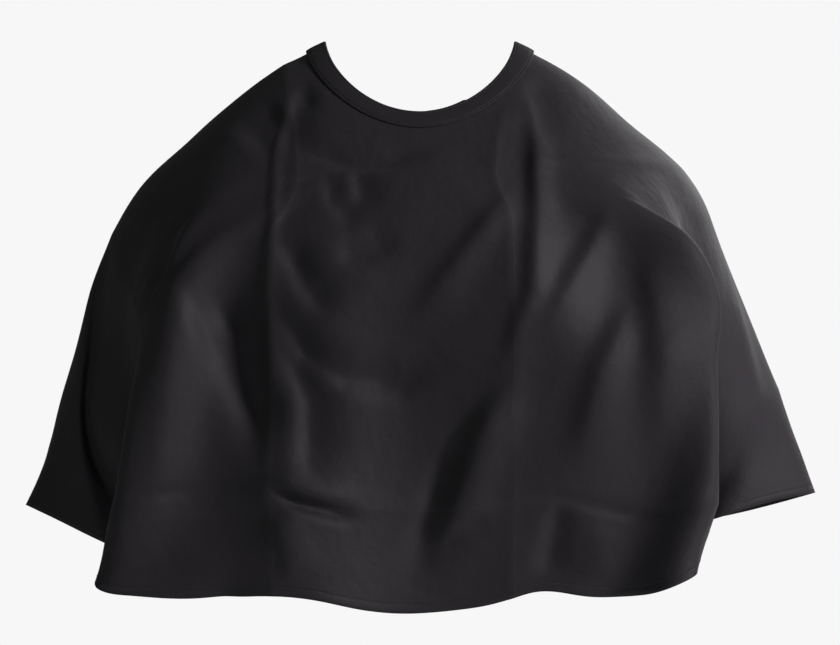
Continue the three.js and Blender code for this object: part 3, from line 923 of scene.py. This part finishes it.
def tabPly(name, section, endMargin, margin):
    end = tabLength - endMargin
    walk = closureTab["start"] + (end - closureTab["start"]) * np.sin(
        np.linspace(0, math.pi / 2, closureTab["stations"]))
    section = np.array(section)
    fullHalf = bandWidth / 2 - margin
    scaled = tabHalfHeight(walk, margin)[:, None] / fullHalf
    depth = bandWidth / 2 + (section[:, 0] - bandWidth / 2) * scaled
    closing = np.clip((walk - (end - closureTab["turnOverEnd"])) / closureTab["turnOverEnd"], 0, 1)
    closing = np.sqrt(np.clip(1 - closing ** 2, .02, 1))[:, None]
    offset = middleOffset + (section[:, 1] - middleOffset) * closing + tabLiftAt(walk)[:, None]
    return sweptPiece(name, angleAtWalk(walk), depth, offset, walk)


def mirrored(line):
    return [(bandWidth - depth, offset) for depth, offset in line][::-1]


upperTurn = [(closureTab["stitchInset"] + .002, innerOffset), (.0026, innerOffset)] \
    + foldLine(rollDepth, middleOffset, 270, 90)
tabSection = plyAlong(upperTurn + [(depth, outerOffset) for depth in (.0045, .009, .0135)]
                      + mirrored(upperTurn))
tabInnerSection = plyAlong([(depth, innerOffset) for depth in (.0052, .0075, .0105, .0128)])
tabCoreSection = [
    (.0020, .00085), (.0160, .00085), (.0160, .00155), (.0020, .00155)]
tabOuter = tabPly("closureTabOuter", tabSection, 0, 0)
tabInner = tabPly("closureTabInner", tabInnerSection, .0045, 0)
tabCore = tabPly("closureTabInterlining", tabCoreSection, .0020, 0)


def tabStitches():
    inset = closureTab["stitchInset"]
    radius = closureTab["cornerRadius"] - inset
    far, low, high = tabLength - inset, bandWidth - inset, inset
    corners = [(.002, high), (far - radius, high)]
    corners += [(far - radius + radius * math.sin(t), high + radius - radius * math.cos(t))
                for t in np.linspace(.2, math.pi / 2, 5)]
    corners += [(far - radius + radius * math.cos(t), low - radius + radius * math.sin(t))
                for t in np.linspace(0, math.pi / 2 - .2, 5)]
    corners += [(far - radius, low), (.002, low)]
    line = np.array(corners)
    walked = np.concatenate([[0], np.cumsum(np.linalg.norm(np.diff(line, axis=0), axis=1))])
    stops = np.arange(.001, walked[-1], sewing["bandPitch"])
    walk, depth = (np.interp(stops, walked, line[:, k]) for k in (0, 1))
    offset = tabLiftAt(walk) + layers["outerPly"][1] + .00005
    places = layerPoints(angleAtWalk(walk), depth, offset)
    return stitchRow("closureTabStitches", places, surfaceNormals(angleAtWalk(walk), depth),
                     sewing["length"] * .9, sewing["thread"])


tabSewing = tabStitches()
bendWalk = np.array([closureTab["bendFrom"], closureTab["bendTo"]])
bendStart, bendEnd = layerPoints(
    angleAtWalk(bendWalk), np.full(2, bandWidth / 2), np.full(2, middleOffset))
for piece in (tabOuter, tabInner, tabCore, tabSewing):
    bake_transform(piece)
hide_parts("tab_outer")
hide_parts("tab_inner")
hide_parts("tab_interlining")
print("closure tab made")


# press studs: domed caps and sprung sockets on the tab, studs on the band

pressStuds = {
    "sides": 40, "count": 5, "caps": 2,
    "flange": .0045, "flangeHeight": .0006, "head": .0021, "neck": .00175, "headHeight": .0017,
    "post": .0014, "backRadius": .0042, "backHeight": .0008, "backHole": .0017,
    "bore": .00265, "groove": .00345, "socket": .0046, "socketHeight": .0018,
    "springWire": .0002, "springOpening": .001, "cap": .0052, "capRim": .00035, "capDome": .0009,
}


def snapFrame(number):
    walk = np.array([firstSnap + (number - 1) * closureTab["snapPitch"]])
    angle = angleAtWalk(walk)
    place = surfacePoints(angle, layers["snapDepth"])[0]
    normal = surfaceNormals(angle, layers["snapDepth"])[0]
    down = surfacePoints(angle, layers["snapDepth"] + .001)[0] - place
    down -= normal * (down @ normal)
    down /= np.linalg.norm(down)
    return place, normal, down, np.cross(normal, down)


def turnedPiece(name, profile, number, closed=False):   # a lathe shape on a press stud's axis
    place, normal, down, across = snapFrame(number)
    sides = pressStuds["sides"]
    turn = np.linspace(0, trueTurn, sides, endpoint=False)
    spokes = np.cos(turn)[:, None] * down + np.sin(turn)[:, None] * across
    points, rings = [], []
    for radius, height in profile:
        centre = place + normal * height
        if radius < 1e-7:
            rings.append([len(points)] * sides)
            points.append(centre)
        else:
            rings.append(list(range(len(points), len(points) + sides)))
            points.extend(centre + spokes * radius)
    faces = []
    pairs = list(zip(rings, rings[1:] + (rings[:1] if closed else [])))
    for low, high in pairs if closed else pairs[:len(rings) - 1]:
        for k in range(sides):
            corners = [low[k], low[(k + 1) % sides], high[(k + 1) % sides], high[k]]
            unique = list(dict.fromkeys(corners))
            if len(unique) > 2:
                faces.append(tuple(unique))
    piece = makePiece(name, points, faces)
    faceOutward(piece)
    piece.data.set_sharp_from_angle(angle=math.radians(40))
    return piece


def roundedCorner(radius, height, size, start, end, steps=4):
    turn = np.radians(np.linspace(start, end, steps))
    return [(radius + size * math.cos(t), height + size * math.sin(t)) for t in turn]


def studPiece(number):
    low, s = layers["studFlange"], pressStuds
    top, edge = low + s["flangeHeight"], .00022
    crown = top + s["headHeight"]
    profile = [(0, layers["backPlateTop"] - .0005), (s["post"], layers["backPlateTop"] - .0005)]
    profile += [(s["post"], low)]
    profile += roundedCorner(s["flange"] - edge, low + edge, edge, -90, 0)
    profile += roundedCorner(s["flange"] - edge, top - edge, edge, 0, 90)
    profile += [(s["flange"] * .72, top - .0001), (s["neck"] + .0005, top)]
    profile += [(s["neck"], top + .0002)]
    profile += [(s["neck"], top + .0006), (s["head"] - .0001, top + .00095)]
    profile += [(s["head"], top + .00113), (s["head"] - .00005, top + .0013)]
    profile += [(s["head"] - .0004, crown - .0001), (s["head"] - .0007, crown)]
    profile += [(.0006, crown), (.0004, crown - .00015), (0, crown - .0002)]
    return turnedPiece(f"pressStud{number}", profile, number)


def backPiece(number):
    s, top = pressStuds, layers["backPlateTop"]
    low, edge = top - s["backHeight"], .0002
    profile = [(s["backHole"], low + .0002), (s["backHole"] + .0004, low)]
    profile += roundedCorner(s["backRadius"] - edge, low + edge, edge, -90, 0)
    profile += [(s["backRadius"], top), (s["backHole"], top)]
    return turnedPiece(f"studBackRing{number}", profile, number, closed=True)


def socketPiece(number):
    s, low = pressStuds, layers["socket"]
    top, middle, edge = low + s["socketHeight"], low + s["socketHeight"] / 2, .0003
    slot = s["springWire"] * 2
    profile = [(s["bore"] + .0002, low), (s["bore"] + .0008, low + .0001)]
    profile += roundedCorner(s["socket"] - edge, low + edge, edge, -90, 0)
    profile += [(s["socket"], top - .0003), (s["socket"] - .0002, top), (s["bore"], top)]
    profile += [(s["bore"], middle + slot), (s["groove"], middle + slot)]
    profile += [(s["groove"], middle - slot), (s["bore"], middle - slot), (s["bore"], low + .0002)]
    return turnedPiece(f"pressSocket{number}", profile, number, closed=True)


def capPiece(number):
    s, low = pressStuds, layers["cap"]
    rim, dome, edge = low + s["capRim"], s["capDome"] - s["capRim"], .00014
    profile = [(0, layers["capPostEnd"]), (s["post"] - .0003, layers["capPostEnd"])]
    profile += [(s["post"], layers["capPostEnd"] + .0003), (s["post"], low), (s["cap"] - edge, low)]
    profile += roundedCorner(s["cap"] - edge, low + edge, edge, -90, 60)
    profile += [(s["cap"] - .0003, rim - .00005), (s["cap"] - .00055, rim - .0001)]
    for turn in np.radians(np.linspace(10, 90, 9)):
        profile.append(((s["cap"] - .0006) * math.cos(turn) if turn < 1.57 else 0,
                        rim + dome * math.sin(turn)))
    return turnedPiece(f"pressCap{number}", profile, number)


def springPiece(number):
    s = pressStuds
    place, normal, down, across = snapFrame(number)
    centre = place + normal * (layers["socket"] + s["socketHeight"] / 2)
    radius = (s["bore"] + s["groove"]) / 2
    opening = s["springOpening"] / radius / 2
    points, sides, steps = [], 8, 60
    for step in range(steps + 1):
        turn = opening + (trueTurn - 2 * opening) * step / steps
        spoke = down * math.cos(turn) + across * math.sin(turn)
        for k in range(sides):
            roll = trueTurn * k / sides
            wire = spoke * math.cos(roll) + normal * math.sin(roll)
            points.append(centre + spoke * radius + wire * s["springWire"])
    piece = makePiece(f"socketSpring{number}", points, tubeFaces(steps + 1, sides))
    faceOutward(piece)
    return piece


metalPieces, springPieces = [], []
for number in range(1, pressStuds["count"] + 1):
    for piece, node in ((studPiece(number), "snap_stud"), (backPiece(number), "snap_back")):
        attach(piece, "root")
        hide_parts(f"{node}_{number}")
        metalPieces.append(piece)
for number in range(1, pressStuds["caps"] + 1):
    for piece, node in ((capPiece(number), "snap_cap"), (socketPiece(number), "snap_socket"),
                        (springPiece(number), "snap_spring")):
        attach(piece, "tab")
        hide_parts(f"{node}_{number}")
        (springPieces if node == "snap_spring" else metalPieces).append(piece)
print("press studs made")


# shader groups shared by the finishes

def newGroup(name, inputs, outputs):
    group = bpy.data.node_groups.new(name, "ShaderNodeTree")
    for label, kind, value in inputs:
        socket = group.interface.new_socket(name=label, in_out="INPUT", socket_type=kind)
        if value is not None:
            socket.default_value = value
    for label, kind in outputs:
        group.interface.new_socket(name=label, in_out="OUTPUT", socket_type=kind)
    return group, group.nodes.new("NodeGroupInput"), group.nodes.new("NodeGroupOutput")


def put(tree, socket, value):
    if isinstance(value, bpy.types.NodeSocket):
        tree.links.new(value, socket)
    elif value is not None:
        socket.default_value = value


def sums(tree, operation, first, second=None, third=None, clamp=False):
    node = tree.nodes.new("ShaderNodeMath")
    node.operation, node.use_clamp = operation, clamp
    for socket, value in zip(node.inputs, (first, second, third)):
        put(tree, socket, value)
    return node.outputs[0]


def split(tree, vector):
    node = tree.nodes.new("ShaderNodeSeparateXYZ")
    put(tree, node.inputs[0], vector)
    return node.outputs


def noise(tree, vector, scale, detail=2.0, roughness=.5, stretch=None):
    if stretch:
        mapping = tree.nodes.new("ShaderNodeMapping")
        put(tree, mapping.inputs["Vector"], vector)
        mapping.inputs["Scale"].default_value = stretch
        vector = mapping.outputs[0]
    node = tree.nodes.new("ShaderNodeTexNoise")
    put(tree, node.inputs["Vector"], vector)
    node.inputs["Scale"].default_value = scale
    node.inputs["Detail"].default_value = detail
    node.inputs["Roughness"].default_value = roughness
    return node.outputs["Fac"]


def weaveGroup():                        # a plain weave of fine filament yarns
    group, given, out = newGroup(
        "plainWeave",
        [("Place", "NodeSocketVector", None), ("Pitch", "NodeSocketFloat", .00032)],
        [("Height", "NodeSocketFloat"), ("Slub", "NodeSocketFloat")])
    x, y, _ = split(group, given.outputs["Place"])
    turns = sums(group, "DIVIDE", trueTurn / 2, given.outputs["Pitch"])
    warp = sums(group, "SINE", sums(group, "MULTIPLY", x, turns))
    weft = sums(group, "SINE", sums(group, "MULTIPLY", y, turns))
    over = sums(group, "MULTIPLY", warp, weft)
    put(group, out.inputs["Height"], sums(group, "MULTIPLY_ADD", over, .5, .5))
    along = noise(group, given.outputs["Place"], 1, 2, .6, (3200, 160, 1))
    across = noise(group, given.outputs["Place"], 1, 2, .6, (160, 3200, 1))
    put(group, out.inputs["Slub"], sums(group, "MULTIPLY", sums(group, "ADD", along, across), .5))
    return group


def creaseGroup():                       # the lines left by folding the cape into its pack; they also set a painted highlight along the creases
    group, given, out = newGroup(
        "packingLines",
        [("Place", "NodeSocketVector", None), ("Sharpness", "NodeSocketFloat", 700.0)],
        [("Line", "NodeSocketFloat")])
    wander = noise(group, given.outputs["Place"], 26, 3, .55)
    shift = sums(group, "MULTIPLY", sums(group, "SUBTRACT", wander, .5), .006)
    x, y, _ = split(group, given.outputs["Place"])
    line = None
    for axis, where, lift, _ in capeCloth["packing"]:
        across = sums(group, "SUBTRACT", sums(group, "ADD", x if axis == "x" else y, shift), where)
        near = sums(group, "MULTIPLY", sums(group, "ABSOLUTE", across), given.outputs["Sharpness"])
        one = sums(group, "MULTIPLY", sums(group, "EXPONENT", sums(group, "MULTIPLY", near, -1)),
                   lift / .0024)
        line = one if line is None else sums(group, "MAXIMUM", line, one)
    # the crease lines fade in patches; the result gives a bump, shinier cloth and a painted
    # highlight along the creases
    broken = noise(group, given.outputs["Place"], 60, 2, .6)
    worn = sums(group, "MULTIPLY_ADD", broken, 1.6, -.3, clamp=True)
    put(group, out.inputs["Line"], sums(group, "MULTIPLY", line, worn))
    return group


def rumpleGroup():                       # soft unevenness and lint of a limp, light cloth
    group, given, out = newGroup(
        "rumpledCloth",
        [("Place", "NodeSocketVector", None)],
        [("Height", "NodeSocketFloat"), ("Shade", "NodeSocketFloat"), ("Lint", "NodeSocketFloat")])
    broad = noise(group, given.outputs["Place"], 14, 3, .55)
    small = noise(group, given.outputs["Place"], 62, 3, .6)
    put(group, out.inputs["Height"], sums(group, "MULTIPLY_ADD", small, .35, broad))
    put(group, out.inputs["Shade"], noise(group, given.outputs["Place"], 7, 4, .6))
    specks = noise(group, given.outputs["Place"], 900, 1, .5)
    put(group, out.inputs["Lint"], sums(group, "GREATER_THAN", specks, .80))
    return group


def grooveGroup():                       # a dimple where thread pulls the cloth down; it also sets the painted shade along the stitching
    group, given, out = newGroup(
        "stitchGroove",
        [("Distance", "NodeSocketFloat", 1.0), ("At", "NodeSocketFloat", .0068),
         ("Width", "NodeSocketFloat", .0009)],
        [("Mask", "NodeSocketFloat")])
    across = sums(group, "SUBTRACT", given.outputs["Distance"], given.outputs["At"])
    near = sums(group, "DIVIDE", across, given.outputs["Width"])
    squared = sums(group, "MULTIPLY", sums(group, "MULTIPLY", near, near), -1)
    put(group, out.inputs["Mask"], sums(group, "EXPONENT", squared))
    return group


def rubGroup():                          # fine rubbing and tarnish on small metal parts
    group, given, out = newGroup(
        "rubbedMetal",
        [("Place", "NodeSocketVector", None), ("Roughness", "NodeSocketFloat", .25)],
        [("Roughness", "NodeSocketFloat"), ("Shade", "NodeSocketFloat"),
         ("Height", "NodeSocketFloat")])
    cloud = noise(group, given.outputs["Place"], 420, 4, .6)
    hair = noise(group, given.outputs["Place"], 1, 2, .6, (9000, 600, 2600))
    spread = sums(group, "MULTIPLY_ADD", cloud, .22, -.11)
    put(group, out.inputs["Roughness"], sums(group, "ADD", given.outputs["Roughness"], spread))
    put(group, out.inputs["Shade"], cloud)
    put(group, out.inputs["Height"], hair)
    return group


weave, creaseLines, rumpled, groove, rubbed = (
    weaveGroup(), creaseGroup(), rumpleGroup(), grooveGroup(), rubGroup())


# finishes

def newFinish(name):
    material = bpy.data.materials.new(name)
    material.use_nodes = True
    return material, material.node_tree, material.node_tree.nodes["Principled BSDF"]


def use(tree, group, **values):
    node = tree.nodes.new("ShaderNodeGroup")
    node.node_tree = group
    for label, value in values.items():
        put(tree, node.inputs[label], value)
    return node.outputs


def mixColours(tree, share, first, second):
    node = tree.nodes.new("ShaderNodeMix")
    node.data_type = "RGBA"
    put(tree, node.inputs[0], share)
    for socket, value in ((node.inputs[6], first), (node.inputs[7], second)):
        put(tree, socket, value if isinstance(value, bpy.types.NodeSocket) else (*value, 1))
    return node.outputs[2]


def bump(tree, shader, height, distance, strength):
    node = tree.nodes.new("ShaderNodeBump")
    node.inputs["Strength"].default_value = strength
    node.inputs["Distance"].default_value = distance
    put(tree, node.inputs["Height"], height)
    put(tree, shader.inputs["Normal"], node.outputs[0])


finishes = {
    "cape": {"base": (.0125, .0107, .0134), "dark": (.0088, .0080, .0094),
             # worn here is a painted highlight: the lighter colour painted along the packing crease
             # lines
             "worn": (.0270, .0250, .0280), "lint": (.050, .048, .051),
             "roughness": .64, "sheen": .03, "sheenRoughness": .45, "specular": .16},
    "band": {"base": (.0115, .0100, .0122), "dark": (.0082, .0074, .0088),
             "roughness": .66, "sheen": .02, "specular": .14},
    "interlining": {"base": (.34, .335, .32), "dark": (.24, .235, .225), "roughness": .92},
    "thread": {"base": (.009, .0085, .0095), "shine": (.016, .015, .0165), "roughness": .48},
    "nickel": {"base": (.60, .585, .555), "dark": (.42, .41, .39), "roughness": .24},
    "spring": {"base": (.46, .45, .43), "dark": (.33, .32, .31), "roughness": .34},
}


def flatPlaceNode(tree):                 # the flat cut in metres
    coordinates = tree.nodes.new("ShaderNodeUVMap")
    coordinates.uv_map = "flatCut"
    mapping = tree.nodes.new("ShaderNodeMapping")
    put(tree, mapping.inputs["Vector"], coordinates.outputs[0])
    size = capeCloth["mapSize"]
    mapping.inputs["Location"].default_value = (-size / 2, -size / 2, 0)
    mapping.inputs["Scale"].default_value = (size, size, 1)
    return mapping.outputs[0]


def attributeNode(tree, name):
    node = tree.nodes.new("ShaderNodeAttribute")
    node.attribute_name = name
    return node.outputs


def capeFinish():
    values = finishes["cape"]
    material, tree, shader = newFinish("blackPolyester")
    place = flatPlaceNode(tree)
    yarn = use(tree, weave, Place=place, Pitch=.00032)
    soft = use(tree, rumpled, Place=place)
    line = use(tree, creaseLines, Place=place)["Line"]
    edge = attributeNode(tree, "edgeDistance")["Fac"]
    stitchDentAndShade = use(tree, groove, Distance=edge, At=capeCloth["stitchInset"], Width=.0010)["Mask"]
    fold = use(tree, groove, Distance=edge, At=capeCloth["hemWidth"], Width=.0006)["Mask"]
    shade = sums(tree, "MULTIPLY_ADD", soft["Shade"], 1.4, -.2, clamp=True)
    colour = mixColours(tree, shade, values["dark"], values["base"])
    yarnShade = sums(tree, "MULTIPLY", yarn["Slub"], .5)
    colour = mixColours(tree, yarnShade, colour, values["base"])
    # painted highlight: the cloth is painted lighter along the packing crease lines
    colour = mixColours(tree, sums(tree, "MULTIPLY", line, .16), colour, values["worn"])
    # painted shade: the cloth is painted darker in the dent along the hem's stitch line
    colour = mixColours(tree, sums(tree, "MULTIPLY", stitchDentAndShade, .35), colour, values["dark"])
    colour = mixColours(tree, sums(tree, "MULTIPLY", soft["Lint"], .5), colour, values["lint"])
    put(tree, shader.inputs["Base Color"], colour)
    rough = sums(tree, "MULTIPLY_ADD", soft["Shade"], .12, values["roughness"] - .06)
    rough = sums(tree, "MULTIPLY_ADD", line, -.08, rough)
    put(tree, shader.inputs["Roughness"], rough)
    shader.inputs["Sheen Weight"].default_value = values["sheen"]
    shader.inputs["Sheen Roughness"].default_value = values["sheenRoughness"]
    shader.inputs["Specular IOR Level"].default_value = values["specular"]
    fine = sums(tree, "MULTIPLY", yarn["Height"], .00004)
    fine = sums(tree, "MULTIPLY_ADD", yarn["Slub"], .00006, fine)
    fine = sums(tree, "MULTIPLY_ADD", soft["Height"], .0022, fine)
    fine = sums(tree, "MULTIPLY_ADD", line, .00025, fine)
    fine = sums(tree, "MULTIPLY_ADD", stitchDentAndShade, -.00028, fine)
    fine = sums(tree, "MULTIPLY_ADD", fold, -.00012, fine)
    bump(tree, shader, fine, 1, .8)
    return material


def bandFinish():
    values = finishes["band"]
    material, tree, shader = newFinish("blackBandCloth")
    place = attributeNode(tree, "bandPlace")["Vector"]
    yarn = use(tree, weave, Place=place, Pitch=.00036)
    soft = use(tree, rumpled, Place=place)
    _, down, _ = split(tree, place)
    rows = [use(tree, groove, Distance=down, At=at, Width=.0007)["Mask"]
            for at in neckBand["stitchDepths"]]
    stitchDentAndShade = sums(tree, "MAXIMUM", rows[0], rows[1])
    shade = sums(tree, "MULTIPLY_ADD", soft["Shade"], 1.2, -.1, clamp=True)
    colour = mixColours(tree, shade, values["dark"], values["base"])
    colour = mixColours(tree, sums(tree, "MULTIPLY", yarn["Slub"], .4), colour, values["base"])
    # painted shade: the band is painted darker in the dents along its two stitch rows
    colour = mixColours(tree, sums(tree, "MULTIPLY", stitchDentAndShade, .4), colour, values["dark"])
    put(tree, shader.inputs["Base Color"], colour)
    put(tree, shader.inputs["Roughness"],
        sums(tree, "MULTIPLY_ADD", soft["Shade"], .10, values["roughness"] - .05))
    shader.inputs["Sheen Weight"].default_value = values["sheen"]
    shader.inputs["Specular IOR Level"].default_value = values["specular"]
    fine = sums(tree, "MULTIPLY", yarn["Height"], .00005)
    fine = sums(tree, "MULTIPLY_ADD", soft["Height"], .0006, fine)
    fine = sums(tree, "MULTIPLY_ADD", stitchDentAndShade, -.0003, fine)
    bump(tree, shader, fine, 1, .8)
    return material


def objectPlace(tree):
    return tree.nodes.new("ShaderNodeTexCoord").outputs["Object"]


def interliningFinish():
    values = finishes["interlining"]
    material, tree, shader = newFinish("greyInterlining")
    place = objectPlace(tree)
    felt = noise(tree, place, 2600, 4, .7)
    colour = mixColours(tree, felt, values["dark"], values["base"])
    put(tree, shader.inputs["Base Color"], colour)
    put(tree, shader.inputs["Roughness"],
        sums(tree, "MULTIPLY_ADD", felt, .08, values["roughness"] - .06))
    bump(tree, shader, felt, .0001, .6)
    return material


def threadFinish():
    values = finishes["thread"]
    material, tree, shader = newFinish("blackThread")
    place = objectPlace(tree)
    strand = noise(tree, place, 5200, 2, .5)
    put(tree, shader.inputs["Base Color"],
        mixColours(tree, strand, values["base"], values["shine"]))
    put(tree, shader.inputs["Roughness"],
        sums(tree, "MULTIPLY_ADD", strand, .14, values["roughness"] - .07))
    bump(tree, shader, strand, .00005, .7)
    return material


def metalFinish(name, values):
    material, tree, shader = newFinish(name)
    rub = use(tree, rubbed, Place=objectPlace(tree), Roughness=values["roughness"])
    put(tree, shader.inputs["Base Color"],
        mixColours(tree, rub["Shade"], values["dark"], values["base"]))
    put(tree, shader.inputs["Roughness"], rub["Roughness"])
    shader.inputs["Metallic"].default_value = 1
    bump(tree, shader, rub["Height"], .00002, .4)
    return material


def dress(pieces, material):
    for piece in pieces:
        piece.data.materials.clear()
        piece.data.materials.append(material)


dress([cape], capeFinish())
for piece in hemPieces:                  # the turned hem is the same cloth, seen only inside
    keepAttribute(piece.data, "bandPlace", "FLOAT_VECTOR", pointsOf(piece.data))
bandCloth = bandFinish()
dress([bandOuter, bandInner, tabOuter, tabInner, *hemPieces], bandCloth)
dress([bandCore, tabCore], interliningFinish())
dress([*clothStitches, *bandRows, tabSewing], threadFinish())
dress(metalPieces, metalFinish("satinNickel", finishes["nickel"]))
dress(springPieces, metalFinish("springSteel", finishes["spring"]))


# studio: a pale floor far below, soft light from the right, weaker ones from the left,
# above and behind

studio = {
    "floorHeight": -.78, "floorRadius": 1.9,
    "cameraPlace": (0, -capeCloth["seenFrom"], capeCloth["eyeHeight"]), "frameWidth": .692,
    "sensor": 36,
    "keyPlace": (2.05, -1.15, .55), "keySize": .6, "keyPower": 84, "keyColour": (1, .955, 1),
    "topPlace": (.9, -.2, 1.7), "topSize": 1.0, "topPower": 6, "topColour": (1, .97, 1),
    "fillPlace": (-1.9, -1.3, .3), "fillSize": 1.6, "fillPower": 6, "fillColour": (.92, 1, .94),
    "backPlace": (1.5, 1.8, .8), "backSize": 1.4, "backPower": 30, "backColour": (1, 1, 1),
    "aim": (0, 0, -.24), "roomLight": .10, "roomSeen": .93,
    "floorSides": 96, "floorDark": (.80, .80, .80), "floorPale": (.84, .84, .84),
}


def makeFloor():
    sides = studio["floorSides"]
    turn = np.linspace(0, trueTurn, sides, endpoint=False)
    radius, height = studio["floorRadius"], studio["floorHeight"]
    points = [(radius * math.cos(t), radius * math.sin(t), height) for t in turn]
    floor = makePiece("floor", points, [tuple(range(sides))], smooth=False)
    material, tree, shader = newFinish("paleFloor")
    shader.inputs["Roughness"].default_value = .9
    shader.inputs["Specular IOR Level"].default_value = .1
    paper = noise(tree, objectPlace(tree), 3, 3, .5)
    put(tree, shader.inputs["Base Color"],
        mixColours(tree, paper, studio["floorDark"], studio["floorPale"]))
    floor.data.materials.append(material)


def lightRoom():                         # the room is seen pale but lights the cloth less
    room = bpy.data.worlds.new("room")
    scene.world = room
    room.use_nodes = True
    tree = room.node_tree
    lit = tree.nodes["Background"]
    lit.inputs["Strength"].default_value = studio["roomLight"]
    seen = tree.nodes.new("ShaderNodeBackground")
    seen.inputs["Strength"].default_value = studio["roomSeen"]
    for background in (lit, seen):
        background.inputs["Color"].default_value = (1, 1, 1, 1)
    path = tree.nodes.new("ShaderNodeLightPath")
    mix = tree.nodes.new("ShaderNodeMixShader")
    tree.links.new(path.outputs["Is Camera Ray"], mix.inputs[0])
    tree.links.new(lit.outputs[0], mix.inputs[1])
    tree.links.new(seen.outputs[0], mix.inputs[2])
    tree.links.new(mix.outputs[0], tree.nodes["World Output"].inputs["Surface"])


def areaLight(name):
    light = bpy.data.lights.new(name + "Light", "AREA")
    light.shape, light.size = "DISK", studio[name + "Size"]
    light.energy, light.color = studio[name + "Power"], studio[name + "Colour"]
    lamp = bpy.data.objects.new(name + "Light", light)
    scene.collection.objects.link(lamp)
    lamp.location = studio[name + "Place"]
    aim = Vector(studio["aim"]) - lamp.location
    lamp.rotation_euler = aim.to_track_quat("-Z", "Y").to_euler()


def makeCamera():
    camera = bpy.data.cameras.new("camera")
    camera.sensor_width = studio["sensor"]
    distance = -studio["cameraPlace"][1]
    camera.lens = studio["sensor"] * distance / studio["frameWidth"]
    stand = bpy.data.objects.new("camera", camera)
    scene.collection.objects.link(stand)
    stand.location = studio["cameraPlace"]
    stand.rotation_euler = (math.radians(90), 0, 0)
    scene.camera = stand


makeFloor()
for name in ("key", "top", "fill", "back"):
    areaLight(name)
makeCamera()
lightRoom()
scene.view_settings.view_transform = "Standard"
scene.view_settings.look = "None"
print("studio made")
